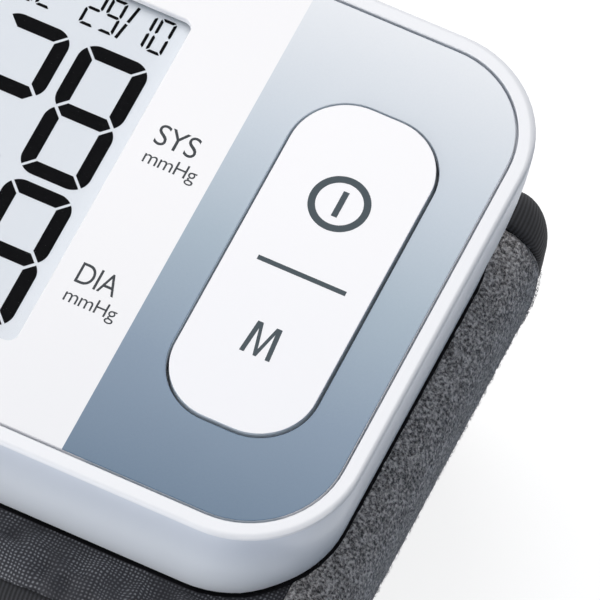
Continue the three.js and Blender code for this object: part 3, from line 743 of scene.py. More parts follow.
def settle(piece: Object, finish: Finish, body: str | tuple, slot: str, *nodes: str) -> Object:
    """Finishes a piece, hangs it on its body or bakes its place, and hides the nodes it stands for.

    Args:
        piece: the piece.
        finish: its material.
        body: the body it rides on, or the fold's two ends between monitor and flap (not read).
        slot: not used.
        nodes: the CAD nodes that it stands for.

    Returns:
        The piece.
    """
    piece.data.materials.clear()
    piece.data.materials.append(finish.make())
    if isinstance(body, str):
        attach(piece, body)
    else:
        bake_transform(piece)
    if nodes:
        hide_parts(*nodes)
    holder = body if isinstance(body, str) else "the fold"
    log.info("%s: %d faces on %s", piece.name, len(piece.data.polygons), holder)
    return piece


def numbered(rows: int, columns: int) -> Array:
    """The numbers of a grid's points, row by row."""
    return np.arange(rows * columns).reshape(rows, columns)


def wrapped(index: Array, axis: int = 1) -> Array:
    """A grid of numbers with its first row or column again at its end."""
    return np.concatenate([index, index.take([0], axis)], axis)


def quads(index: Array) -> Array:
    """The four-sided faces of a grid of point numbers."""
    corners = index[:-1, :-1], index[1:, :-1], index[1:, 1:], index[:-1, 1:]
    return np.stack([corner.ravel() for corner in corners], axis=1)


def hoop(name: str, points: Array, weld: float = WELD, angle: float = 180.0) -> Object:
    """A closed ring from a grid of points whose rows and columns both meet their first again."""
    index = wrapped(wrapped(numbered(*points.shape[:2])), 0)
    piece = link_mesh(name, points.reshape(-1, 3), quads(index))
    close_up(piece, weld)
    smooth(piece, angle)
    return piece


def sandwich(name: str, outer: Array, inner: Array, cloth: Array) -> Object:
    """A closed solid between two grids of points.

    Args:
        name: the piece's name.
        outer: (rows, columns, 3) points of one face.
        inner: the same for the other face.
        cloth: (rows, columns, 2) metres along and across the cloth, for the cloth map.

    Returns:
        The piece, smooth, closed and facing outwards.
    """
    index = numbered(*outer.shape[:2])
    second = index.size
    rim = np.concatenate([index[0, :], index[1:, -1], index[-1, -2::-1], index[-2:0:-1, 0]])
    after = np.roll(rim, -1)
    border = np.stack([rim + second, after + second, after, rim], axis=1)
    points = np.concatenate([outer.reshape(-1, 3), inner.reshape(-1, 3)])
    faces = np.concatenate([quads(index), quads(index + second)[:, ::-1], border])
    piece = link_mesh(name, points, faces)
    add_cloth_map(piece, np.concatenate([cloth.reshape(-1, 2)] * 2))
    close_up(piece)
    smooth(piece)
    return piece


def add_cloth_map(piece: Object, cloth: Array) -> None:
    """Writes one (along, across) pair per point into the piece's cloth map."""
    layer = piece.data.uv_layers.new(name=UV_NAME)
    pairs = cloth[corners_of(piece.data)].astype(np.float32)
    layer.data.foreach_set("uv", pairs.ravel())


def cloth_places(piece: Object) -> Array:
    """The (along, across) pair of each point, from the cloth map."""
    mesh = piece.data
    pairs = np.empty(len(mesh.loops) * 2, np.float32)
    mesh.uv_layers[UV_NAME].data.foreach_get("uv", pairs)
    places = np.zeros((len(mesh.vertices), 2))
    places[corners_of(mesh)] = pairs.reshape(-1, 2)
    return places


@dataclass(frozen=True)
class Air:
    """The pressure and the cloth of a pad that is swollen.

    It is simulated at some times its size, where the solver's steps suit its weight.
    """

    scale: float = 20.0
    steps: int = 20
    quality: int = 6
    mass: float = 0.05
    stiffness: float = 12
    bending: float = 0.05
    pressure: float = 12

    def set_rules(self, cloth: bpy.types.Modifier, seams: str, growth: float) -> None:
        """Sets up the Cloth modifier: what is held, how large the cloth is and what it weighs."""
        rule = cloth.settings
        rule.quality, rule.mass = self.quality, self.mass
        rule.vertex_group_mass = seams
        rule.shrink_min = rule.shrink_max = -growth
        rule.tension_stiffness = rule.compression_stiffness = self.stiffness
        rule.bending_stiffness = self.bending
        rule.use_pressure = True
        rule.uniform_pressure_force = self.pressure
        rule.effector_weights.gravity = 0
        cloth.collision_settings.use_collision = False

    def swell(self, piece: Object, held: Array, growth: float, cap: float) -> None:
        """Simulates a closed pad as cloth that is a little too large for its seams, full of air.

        Args:
            piece: the pad.
            held: which points stay where they are.
            growth: how much longer each thread is than its place, as a share.
            cap: how far a point may move, in metres.
        """
        before = points_of(piece.data)
        move_points(piece, before * self.scale)
        seams = piece.vertex_groups.new(name="seams")
        seams.add(np.flatnonzero(held).tolist(), 1.0, "REPLACE")
        cloth = piece.modifiers.new("air", "CLOTH")
        self.set_rules(cloth, seams.name, growth)
        scene = bpy.context.scene
        for step in range(1, self.steps + 1):
            scene.frame_set(step)
        moved = piece.evaluated_get(bpy.context.evaluated_depsgraph_get()).to_mesh()
        move = points_of(moved) / self.scale - before
        piece.modifiers.remove(cloth)
        piece.vertex_groups.remove(seams)
        scene.frame_set(1)
        length = np.maximum(np.linalg.norm(move, axis=1, keepdims=True), 1e-9)
        move_points(piece, before + move * np.minimum(1, cap / length))
        log.info("%s: swollen by up to %.2f mm", piece.name, float(length.max()) / MM)


def refined(node: str, edge: float) -> Object:
    """A copy of a CAD node with its points merged, its flat faces whole and its edges eased.

    Args:
        node: the CAD node's name.
        edge: the width of the eased edges in metres; 0 leaves them as they are.

    Returns:
        The copy.
    """
    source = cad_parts[node].data
    corners = corners_of(source).reshape(-1, 3)
    piece = link_mesh(f"{node}_finished", points_of(source).astype(float), corners)
    with rework(piece) as work:
        bmesh.ops.remove_doubles(work, verts=work.verts, dist=0.002 * MM)
        flat = math.radians(0.3)
        bmesh.ops.dissolve_limit(work, angle_limit=flat, verts=work.verts, edges=work.edges)
    smooth(piece, CREASE)
    if edge > 0:
        bevel = piece.modifiers.new("eased_edges", "BEVEL")
        bevel.limit_method = "ANGLE"
        bevel.angle_limit = math.radians(CREASE + 5)
        bevel.width = edge
        bevel.segments = 2
        bevel.use_clamp_overlap = False
        bevel.harden_normals = True
    piece.modifiers.new("even_shading", "WEIGHTED_NORMAL").keep_sharp = True
    return piece


def dress(node: str, edge: float, finish: Finish, slot: str, body: str = MONITOR) -> Object:
    """Replaces a CAD node by its eased copy in a finish, with the edge in millimetres."""
    return settle(refined(node, edge * MM), finish, body, slot, node)


# ---------------------------------------------------------------- flat marks
def raised(outline: Array, level: float | Array) -> Array:
    """A flat outline (n, 2) as points at a level or at a level each."""
    return np.column_stack([outline, np.broadcast_to(level, len(outline))])


def prisms(name: str, outlines: Sequence[Array], bottom: float, top: float) -> Object:
    """Thin plates between two levels, with outlines in millimetres."""
    points: list[Array] = []
    faces: list[list[int]] = []
    start = 0
    for outline in outlines:
        low = np.arange(start, start + len(outline))
        high = low + len(outline)
        points += [raised(outline * MM, bottom), raised(outline * MM, top)]
        faces += [low[::-1].tolist(), high.tolist()]
        faces += np.stack([low, np.roll(low, -1), np.roll(high, -1), high], axis=1).tolist()
        start += 2 * len(outline)
    piece = link_mesh(name, np.concatenate(points), faces)
    with rework(piece) as work:
        bmesh.ops.recalc_face_normals(work, faces=work.faces)
    return piece


def arc(x: float, y: float, radius: float, start: float, end: float, count: int = 7) -> Array:
    """Points on an arc round x and y between two angles in degrees."""
    angle = np.radians(np.linspace(start, end, count))
    return np.column_stack([x + radius * np.cos(angle), y + radius * np.sin(angle)])


def stroke(x0: float, y0: float, x1: float, y1: float, width: float) -> Array:
    """The outline of a straight stroke of that width between two points."""
    along = np.array([x1 - x0, y1 - y0])
    side = np.array([-along[1], along[0]]) * (width / 2 / np.hypot(*along))
    start, end = np.array([x0, y0]), np.array([x1, y1])
    return np.array([start - side, end - side, end + side, start + side])


class Side(Enum):
    """The seven bars of a digit."""

    TOP = "a"
    UPPER_RIGHT = "b"
    LOWER_RIGHT = "c"
    BOTTOM = "d"
    LOWER_LEFT = "e"
    UPPER_LEFT = "f"
    MIDDLE = "g"


LIT = {"0": "abcdef", "1": "bc", "2": "abdeg", "7": "abc", "8": "abcdefg", "9": "abcdfg"}


@dataclass(frozen=True)
class DigitShape:
    """A seven-bar digit in millimetres: half sizes, bar thickness, outer corner radius and gap."""

    half_width: float
    half_height: float
    bar: float
    corner: float
    gap: float

    def bars(self, digit: str, x: float, y: float) -> list[Array]:
        """The outlines of a digit's lit bars, centred at x and y."""
        return [self.bar_outline(Side(letter)) + (x, y) for letter in LIT[digit]]

    def bar_outline(self, side: Side) -> Array:
        """One bar. Ends are cut at 45 degrees, and the outer corners are round."""
        w, h, t, r = self.half_width, self.half_height, self.bar, self.corner
        shift = self.gap / math.sqrt(2)
        turn = math.degrees(self.gap / 2 / r)
        if side in (Side.TOP, Side.BOTTOM):
            cap = np.concatenate([
                [(t - w + shift, h - t)],
                arc(r - w, h - r, r, 135 - turn, 90),
                arc(w - r, h - r, r, 90, 45 + turn),
                [(w - t - shift, h - t)],
            ])
            return cap * (1, 1 if side is Side.TOP else -1)
        if side is Side.MIDDLE:
            tip, shoulder = w - t / 2 - shift / 3, w - t - shift / 3
            half = np.array([(-tip, 0), (-shoulder, t / 2), (shoulder, t / 2)])
            return np.concatenate([half, -half])
        nose, foot = r * (1 - math.sqrt(0.5)), self.gap * 0.65
        flank = np.concatenate([
            [(w - t, h - t - shift)],
            arc(w - r, h - r, r, 45 - turn, 0),
            arc(w - r, foot + r * math.sqrt(0.5), r, 0, -45),
            [(w - t, foot + t - nose)],
        ])
        across = 1 if side in (Side.UPPER_RIGHT, Side.LOWER_RIGHT) else -1
        upward = 1 if side in (Side.UPPER_RIGHT, Side.UPPER_LEFT) else -1
        return flank * (across, upward)


def lettering(name: str, text: str, box: Sequence[float], bottom: float, top: float) -> Object:
    """A word as a thin plate that fills a rectangle.

    Args:
        name: the piece's name.
        text: the word.
        box: the rectangle's left, right, lowest and highest side, in millimetres.
        bottom: the plate's underside in metres.
        top: its upper side.

    Returns:
        The plate, as a mesh.
    """
    curve = bpy.data.curves.new(name, "FONT")
    curve.body = text
    curve.resolution_u = 6
    curve.offset = -0.003
    curve.space_character = 0.94
    holder = link(bpy.data.objects.new(name, curve))
    bpy.context.view_layer.update()
    shown = holder.evaluated_get(bpy.context.evaluated_depsgraph_get())
    drawn = bpy.data.meshes.new_from_object(shown)
    bpy.data.objects.remove(holder)
    flat = points_of(drawn)[:, :2].astype(float)
    low, high = flat.min(0), flat.max(0)
    left, right, lowest, highest = (side * MM for side in box)
    placed = (flat - low) / (high - low) * (right - left, highest - lowest) + (left, lowest)
    faces = [list(polygon.vertices) for polygon in drawn.polygons]
    piece = link_mesh(name, raised(placed, bottom), faces)
    with rework(piece) as work:
        bmesh.ops.remove_doubles(work, verts=work.verts, dist=0.0001 * MM)
        bmesh.ops.recalc_face_normals(work, faces=work.faces)
        grown = bmesh.ops.extrude_face_region(work, geom=work.faces[:])["geom"]
        lifted = [item for item in grown if isinstance(item, bmesh.types.BMVert)]
        bmesh.ops.translate(work, verts=lifted, vec=(0, 0, top - bottom))
        bmesh.ops.recalc_face_normals(work, faces=work.faces)
    return piece


# ---------------------------------------------------------------- the cuff's path
@dataclass(frozen=True)
class CuffPath:
    """The cuff's outline seen from the front, as turns of six quarters.

    0 is the top middle, 1 to 2 the right corner, 3 the bottom middle and 4 to 5 the left corner.
    The top is flat, the corners are quarter circles, and the lower half is a broad power curve.
    """

    top: float = 52.8 * MM
    corner: float = 7.2 * MM
    half_x: float = 40.34 * MM
    below: float = 0.5 * MM
    side_power: float = 0.8
    drop_power: float = 1.15
    thick: float = 9 * MM
    pinched: float = 6.6 * MM
    middle: float = -5.15 * MM

    @staticmethod
    def quarter(turn: Array) -> Array:
        """The turn counted from the top middle down either side."""
        u = np.mod(turn, 6)
        return np.minimum(u, 6 - u)

    def point(self, turn: Array) -> tuple[Array, Array]:
        """The x and z of the outline at each turn."""
        side = np.where(np.mod(turn, 6) <= 3, 1.0, -1.0)
        v = self.quarter(turn)
        flat, shoulder = self.half_x - self.corner, self.top - self.corner
        round_angle = np.clip(v - 1, 0, 1) * math.pi / 2
        low_angle = np.clip(v - 2, 0, 1) * math.pi / 2
        low_x = self.half_x * np.maximum(np.cos(low_angle), 0) ** self.side_power
        low_z = shoulder - (shoulder + self.below) * np.sin(low_angle) ** self.drop_power
        corner_x = flat + self.corner * np.sin(round_angle)
        corner_z = shoulder + self.corner * np.cos(round_angle)
        x = np.select([v < 1, v < 2], [v * flat, corner_x], low_x)
        z = np.select([v < 1, v < 2], [np.full_like(v, self.top), corner_z], low_z)
        return side * x, z

    def normal(self, turn: Array) -> tuple[Array, Array]:
        """The outward direction in x and z at each turn."""
        step = 1e-3
        x0, z0 = self.point(turn - step)
        x1, z1 = self.point(turn + step)
        length = np.hypot(x1 - x0, z1 - z0)
        return -(z1 - z0) / length, (x1 - x0) / length

    def thickness(self, turn: Array) -> Array:
        """How thick the cuff is at each turn: less round the corners."""
        away = climb(np.abs(self.quarter(turn) - 1.5), 0.5, 0.85)
        return self.thick - (self.thick - self.pinched) * (1 - ease(away))

    def lay(self, turn: Array, depth: Array, y: Array) -> Array:
        """Points at each turn, at a depth below the outline and at y from the cuff's middle."""
        x, z = self.point(turn)
        nx, nz = self.normal(turn)
        places = np.broadcast_arrays(x - nx * depth, self.middle + y, z - nz * depth)
        return np.stack(places, axis=-1)

    def lengths(self, start: float, end: float) -> tuple[Array, Array]:
        """Turns between two turns, and the metres run at each."""
        turns = np.linspace(start, end, 3000)
        x, z = self.point(turns)
        run = np.concatenate([[0.0], np.cumsum(np.hypot(np.diff(x), np.diff(z)))])
        return turns, run

    def spread(self, start: float, end: float, count: int) -> tuple[Array, Array]:
        """Evenly spaced stations between two turns, as columns: metres run, and turn."""
        turns, run = self.lengths(start, end)
        along = np.linspace(0, run[-1], count)[:, None]
        return along, np.interp(along, run, turns)

    def past_flat(self, x: Array) -> Array:
        """How far x lies out over a corner, as a share of its radius."""
        return climb(np.abs(x), self.half_x - self.corner, self.half_x)

    def crest(self, x: Array) -> Array:
        """The outline's height over x: flat, then down the corner's quarter circle."""
        return self.top - self.corner * (1 - np.sqrt(1 - self.past_flat(x) ** 2))


PATH = CuffPath()
SKIN = 1.1 * MM  # how far the cover's outside lies below the outline


def felt_depth(turn: Array) -> Array:
    """How far the side felt's face is pressed in: most under the case, nothing past the corner."""
    return 0.55 * MM * (1 - ease(climb(turn, 1.05, 1.45)))


# ---------------------------------------------------------------- the case
@dataclass
class Case:
    """The two shells, the front film, the battery door and their screws."""

    edge: float = 0.12
    screw_edge: float = 0.05
    foot: float = 53 * MM
    foot_round: float = 0.62 * MM
    foot_gap: float = 0.15 * MM
    foot_outline: tuple[float, float, float] = (36.15, 31.15, 13.6)
    left_zone: tuple[float, float] = (26 * MM, 34 * MM)
    felt_zone: tuple[float, float] = (29 * MM, 32.5 * MM)
    roll_zone: tuple[float, float] = (30 * MM, 34 * MM)
    tape_zone: tuple[float, float] = (22 * MM, 25.5 * MM)
    tape_skin: float = 0.85 * MM
    roll_skin: float = 0.1 * MM
    half_depth: float = 31 * MM
    # the ring of painted shadow under the foot: its inset, and its section as reach and whether at
    # the foot
    shadow_ring_inset: float = 0.06 * MM
    shadow_ring_section: tuple[tuple[float, bool], ...] = (
        (-0.5, False), (0.0, True), (0.14, True), (0.24, False),
    )

    def skin_level(self, x: Array, y: Array) -> Array:
        """The height of the cuff under the case at x and y: its cover, the felt or the far roll."""
        skin = np.where(y > self.tape_zone[1], self.tape_skin, SKIN)
        felt = felt_depth(1 + np.arcsin(PATH.past_flat(x)) * 2 / math.pi)
        skin = skin + (felt - skin) * climb(x, *self.felt_zone)
        roll = climb(np.abs(x), *self.roll_zone) * climb(y, *self.tape_zone)
        return PATH.crest(x) - (skin + (self.roll_skin - skin) * roll)

    def foot_level(self, x: Array, y: Array) -> Array:
        """The height of the wall's foot: a gap above the cuff, and straight along the left side."""
        level = self.skin_level(x, y)
        even = PATH.crest(x) - SKIN + climb(y, -self.half_depth, self.half_depth) * MM
        return level + (even - level) * climb(-x, *self.left_zone) + self.foot_gap

    def lower_foot(self, piece: Object) -> None:
        """Carries a wall's foot down to just above the cuff."""
        points = points_of(piece.data)
        x, y, z = points.T
        lowered = z - (self.foot - self.foot_level(x, y))
        points[:, 2] = np.where(z < self.foot + self.foot_round, lowered, z)
        move_points(piece, points)

    def build_shadow_ring(self) -> None:
        """A dark ring round the foot, a painted shadow of the gap under the wall: it shows as a
        thin line.
        """
        loops = []
        for reach, high in self.shadow_ring_section:
            half_x, half_y, radius = (size * MM + reach * MM for size in self.foot_outline)
            flat_x, flat_y = half_x - radius, half_y - radius
            outline = np.concatenate([
                arc(across * flat_x, up * flat_y, radius, start, start + 90, 13)
                for across, up, start in ((1, -1, -90), (1, 1, 0), (-1, 1, 90), (-1, -1, 180))
            ])
            way = np.roll(outline, -1, axis=0) - outline
            shares = np.linspace(0, 1, 7)[:-1, None]
            dense = (outline[:, None] + way[:, None] * shares).reshape(-1, 2)
            level = (self.foot_level if high else self.skin_level)(*dense.T)
            loops.append(raised(dense, level - self.shadow_ring_inset))
        piece = hoop("foot_shadow_ring", np.stack(loops), angle=60)
        settle(piece, CONTACT_SHADOW_RING, MONITOR, "dark_moulding")

    def build(self) -> None:
        """Replaces the shells by eased copies and dresses them."""
        shells = (("upper_case", MONITOR), ("back_cover", MONITOR), ("battery_door", DOOR))
        for node, body in shells:
            piece = refined(node, self.edge * MM)
            if node != "back_cover":
                self.lower_foot(piece)
            settle(piece, WHITE_SHELL, body, "white_shell", node)
        dress("front_panel", self.edge, PANEL, "printed_panel")
        dress("cuff_plate", self.edge, WHITE_INNER, "white_inner")
        self.build_shadow_ring()
        for number in range(1, 5):
            dress(f"case_screw_{number}", self.screw_edge, METAL, "bright_metal")


@dataclass
class Display:
    """The liquid-crystal glass with its lens, its numbers and its holder, in millimetres."""

    big: DigitShape = DigitShape(4.31, 9.16, 1.79, 2.2, 0.32)
    small: DigitShape = DigitShape(1.0, 2.36, 0.37, 0.45, 0.17)
    big_right: float = -8.6
    big_pitch: float = 9.89
    big_rows: tuple[tuple[str, float], ...] = (("128", 7.13), ("78", -12.15))
    small_places: tuple[tuple[str, float], ...] = (
        ("2", -13.9), ("9", -11.54), ("1", -7.74), ("0", -5.35),
        ("1", -27.6), ("0", -25.24), ("0", -21.82), ("2", -19.45),
    )
    small_row: float = 20.4
    signs: tuple[tuple[float, ...], ...] = (
        (-10.05, 18.05, -9.7, 20.2, 0.38),
        (-9.66, 20.47, -9.28, 22.75, 0.38),
        (-23.53, 18.95, -23.53, 19.4, 0.4),
        (-23.53, 21.2, -23.53, 21.65, 0.4),
    )
    ink: tuple[float, float] = (0.005, 0.03)

    def marks(self) -> list[Array]:
        """The outlines of all that is lit: two rows of big digits, the date, the time and signs."""
        found = [stroke(*sign) for sign in self.signs]
        for number, y in self.big_rows:
            for place, digit in enumerate(reversed(number)):
                found += self.big.bars(digit, self.big_right - place * self.big_pitch, y)
        for digit, x in self.small_places:
            found += self.small.bars(digit, x, self.small_row)
        return found

    def build(self) -> None:
        """Makes the lit marks and dresses the glass, the lens, the holder and the contacts."""
        bottom, top = (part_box("display_glass")[1].z + lift * MM for lift in self.ink)
        digits = prisms("display_digits", self.marks(), bottom, top)
        settle(digits, SEGMENT_INK, MONITOR, "display_glass")
        dress("display_glass", 0.05, LCD, "display_glass")
        dress("display_lens", 0.08, LENS, "clear_lens")
        dress("display_holder", 0.1, WHITE_INNER, "white_inner")
        for name in ("contact_strip_lower", "contact_strip_upper"):
            dress(name, 0.1, RUBBER, "black_rubber")


PRINT = (0.004, 0.016)  # a printed mark's underside and top above its face, in millimetres


@dataclass
class FacePrint:
    """The words beside the display: name, text, and left, right, lowest and highest side."""

    words: tuple[tuple[str, str, tuple[float, ...]], ...] = (
        ("label_sys", "SYS", (0.15, 5.3, 6.87, 9.63)),
        ("label_sys_unit", "mmHg", (0.12, 6.66, 3.6, 5.95)),
        ("label_dia", "DIA", (0.12, 5.02, -13.0, -10.28)),
        ("label_dia_unit", "mmHg", (0.0, 6.42, -16.25, -13.92)),
    )

    def build(self) -> None:
        """Prints each word on the panel."""
        bottom, top = (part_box("front_panel")[1].z + lift * MM for lift in PRINT)
        for name, text, box in self.words:
            word = lettering(name, text, box, bottom, top)
            settle(word, PRINT_INK, MONITOR, "printed_panel")


@dataclass
class Key:
    """The rocker key with its printed marks, in millimetres."""

    edge: float = 0.07
    ring_place: tuple[float, float] = (22.8, 8.8)
    ring_radii: tuple[float, float] = (3.62, 2.76)
    bar: tuple[float, float, float] = (0.1, 1.74, 0.72)
    divider: tuple[float, ...] = (17.46, -1.3, 28.47, -1.3, 0.6)
    letter_foot: tuple[float, float, float, float] = (20.75, 24.5, -12.85, -8.6)
    letter_width: float = 0.56
    splay: float = 0.35

    def letter(self) -> Array:
        """The outline of the letter M, whose legs spread a little towards the foot."""
        left, right, low, high = self.letter_foot
        middle, width = (left + right) / 2, self.letter_width
        half = np.array([
            (middle + 0.35 * width, low),
            (right - self.splay - width * 0.9, high - 1.5 * width),
            (right - width, low),
            (right, low),
            (right - self.splay, high),
            (right - self.splay - width * 1.25, high),
        ])
        mirrored = (half * (-1, 1) + (2 * middle, 0))[::-1]
        return np.concatenate([half, [(middle, low + 1.7 * width)], mirrored])

    def build(self) -> None:
        """Eases the key's edges and prints the ring, the bar, the dividing line and the letter."""
        dress("rocker_key", self.edge, KEY_CAP, "white_shell", KEY)
        bottom, top = (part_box("rocker_key")[1].z + lift * MM for lift in PRINT)
        x, y = self.ring_place
        outer, inner = (arc(x, y, radius, 0, 357.5, 144) * MM for radius in self.ring_radii)
        rows = (outer, bottom), (outer, top), (inner, top), (inner, bottom)
        ring = hoop("key_power_ring", np.stack([raised(*row) for row in rows]), 0.0002 * MM, 0)
        settle(ring, KEY_INK, KEY, "printed_panel")
        shift, half, width = self.bar
        marks = [
            stroke(x + shift, y - half, x + shift, y + half, width),
            stroke(*self.divider),
            self.letter(),
        ]
        settle(prisms("key_marks", marks, bottom, top), KEY_INK, KEY, "printed_panel")


@dataclass
class Works:
    """What the case holds: the board, the cells with their contacts, and the air train."""

    edge: float = 0.12
    cap: float = 1 * MM

    def build(self) -> None:
        """Replaces each node by an eased copy in its own finish."""
        for finish, slot, nodes in (
            (BOARD, "board", "circuit_board"),
            (DARK_MOULDING, "dark_moulding", "power_switch memory_switch controller_chip "
             "pump_head exhaust_valve air_manifold buzzer"),
            (WHITE_INNER, "white_inner", "pressure_sensor"),
            (METAL, "bright_metal", "contact_minus contact_plus contact_link "
             "battery_spring_1 battery_spring_2"),
            (CAN_METAL, "bright_metal", "pump_motor"),
            (HOSE, "clear_hose", "pump_hose valve_hose sensor_hose cuff_hose"),
            (CURL_SHEET, "curl", "cuff_curl"),
        ):
            for node in nodes.split():
                edge = 0.0 if "spring" in node or "hose" in node else self.edge
                dress(node, edge, finish, slot)
        for node, way in (("battery_cell_1", 1), ("battery_cell_2", -1)):
            low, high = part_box(node)
            start = low.y if way > 0 else high.y
            finish = Sleeve(f"{node}_sleeve", start, way, high.y - low.y - self.cap)
            dress(node, self.edge, finish, "cell_sleeve")


# ---------------------------------------------------------------- the cuff
def spaced(half: float, edge: float, step: float, rounds: int = 6) -> tuple[Array, Array, Array]:
    """Stations from -half to half: even in the middle, and round over an edge at each end.

    Returns:
        The stations, the share of the full thickness at each (1 in the middle and the cosine of
        the edge's angle over the edges), and the length over the surface at each.
    """
    count = max(2, int(round(2 * (half - edge) / step)))
    flat = np.linspace(edge - half, half - edge, count + 1)
    angle = np.linspace(0, math.pi / 2, rounds + 1)[1:]
    over, rim = (half - edge + edge * way for way in (np.sin(angle), angle))
    share = np.concatenate([np.cos(angle)[::-1], np.ones(len(flat)), np.cos(angle)])
    stations, girth = (np.concatenate([-end[::-1], flat, end]) for end in (over, rim))
    return stations, share, girth


def ripples(along: Array, across: Array, seed: int, grain: float) -> Array:
    """A smooth field between about -1 and 1: the mean of ten sine waves in seeded directions."""
    draw = np.random.default_rng(seed)
    total = np.zeros(np.broadcast(along, across).shape)
    for _ in range(10):
        heading, phase = draw.uniform(0, 2 * math.pi, 2)
        pace = 2 * math.pi / (grain * draw.uniform(0.6, 1.7))
        total += np.sin((along * math.cos(heading) + across * math.sin(heading)) * pace + phase)
    return total / 4.5


@dataclass(frozen=True)
class Strip:
    """A pad that follows the cuff's outline.

    turns: where it starts and ends; outer and inner: depths as functions of the turn;
    half: half its width; edge and end: how far its sides and ends round over; crown: how much it
    swells; wave and grain: the height of its ripples and their size; seams: how far in from the
    sides they run; channels: how far along from the middle they cross.
    """

    turns: tuple[float, float]
    outer: Profile
    inner: Profile
    seed: int
    half: float
    edge: float
    end: float
    step: float
    grain: float
    crown: float = 0.0
    wave: float = 0.0
    seams: Sequence[float] = ()
    seam_depth: float = 0.35 * MM
    seam_width: float = 0.55 * MM
    channels: Sequence[float] = ()
    channel_depth: float = 0.0
    channel_width: float = 0.9 * MM

    def pinch(self, along: Array, across: Array) -> Array:
        """How far seams along the sides and channels across the pad pull each face in."""
        pulled = np.zeros(np.broadcast(along, across).shape)
        for inset in self.seams:
            off = (np.abs(across) - (self.half - inset)) / self.seam_width
            pulled = pulled + self.seam_depth * np.exp(-(off ** 2))
        for place in self.channels:
            off = (along - place) / self.channel_width
            pulled = pulled + self.channel_depth * np.exp(-(off ** 2))
        return pulled

    def build(self, name: str) -> Object:
        """The pad: its faces stand off its middle by half its thickness times the edge shares."""
        turns, run = PATH.lengths(*self.turns)
        along, ends, length = (row[:, None] for row in spaced(run[-1] / 2, self.end, self.step))
        across, sides, girth = spaced(self.half, self.edge, self.step)
        turn = np.interp(along + run[-1] / 2, run, turns)
        outer, inner = self.outer(turn), self.inner(turn)
        share = ends * sides
        crown = self.crown * (1 - (across / self.half) ** 2) * ends
        body = ((inner - outer) / 2 - self.crown) * share + crown
        pulled = self.pinch(along, across) * share
        faces = []
        for way, seed in ((-1, self.seed), (1, self.seed + 50)):
            rough = ripples(along, across, seed, self.grain) * self.wave * share
            depth = (outer + inner) / 2 + way * (body + rough - pulled)
            faces.append(PATH.lay(turn, depth, across))
        return sandwich(name, *faces, np.stack(np.broadcast_arrays(length, girth), axis=-1))

    def held(self, piece: Object) -> Array:
        """Which points of the built pad its seams, channels and rims hold still."""
        run = PATH.lengths(*self.turns)[1][-1]
        along, across = cloth_places(piece).T
        lines = [np.abs(across) - (self.half - inset) for inset in self.seams]
        lines += [along - place for place in self.channels]
        still = np.abs(across) > self.half - 0.6 * self.edge
        still |= np.abs(along) > run / 2 - 0.6 * self.end
        for off in lines:
            still |= np.abs(off) < 0.7 * self.step
        return still

    def build_puffed(self, name: str, growth: float, cap: float) -> Object:
        """The pad, swollen and rumpled between its seams by up to a cap in millimetres."""
        piece = self.build(name)
        Air().swell(piece, self.held(piece), growth, cap * MM)
        return piece


def strip(
    turns: tuple[float, float], outer: Profile | float, inner: Profile | float, seed: int,
    **sizes: float | Sequence[float],
) -> Strip:
    """A strip whose sizes, and depths where they are plain numbers, are given in millimetres."""
    depths = (
        side if callable(side) else lambda turn, side=side: 0 * turn + side * MM
        for side in (outer, inner)
    )
    scaled = {name: np.multiply(size, MM) for name, size in sizes.items()}
    return Strip(turns, *depths, seed, **scaled)


def flatten_foot(piece: Object) -> None:
    """Rests a piece on the table: no point lies below z = 0."""
    points = points_of(piece.data)
    points[:, 2] = np.maximum(points[:, 2], 0)
    move_points(piece, points)


def draw_up(piece: Object, low: float, high: float, reach: float) -> None:
    """Stretches a piece upwards: not at the lower level, and by reach from the upper one on."""
    points = points_of(piece.data)
    points[:, 2] += ease(climb(points[:, 2], low, high)) * reach
    move_points(piece, points)


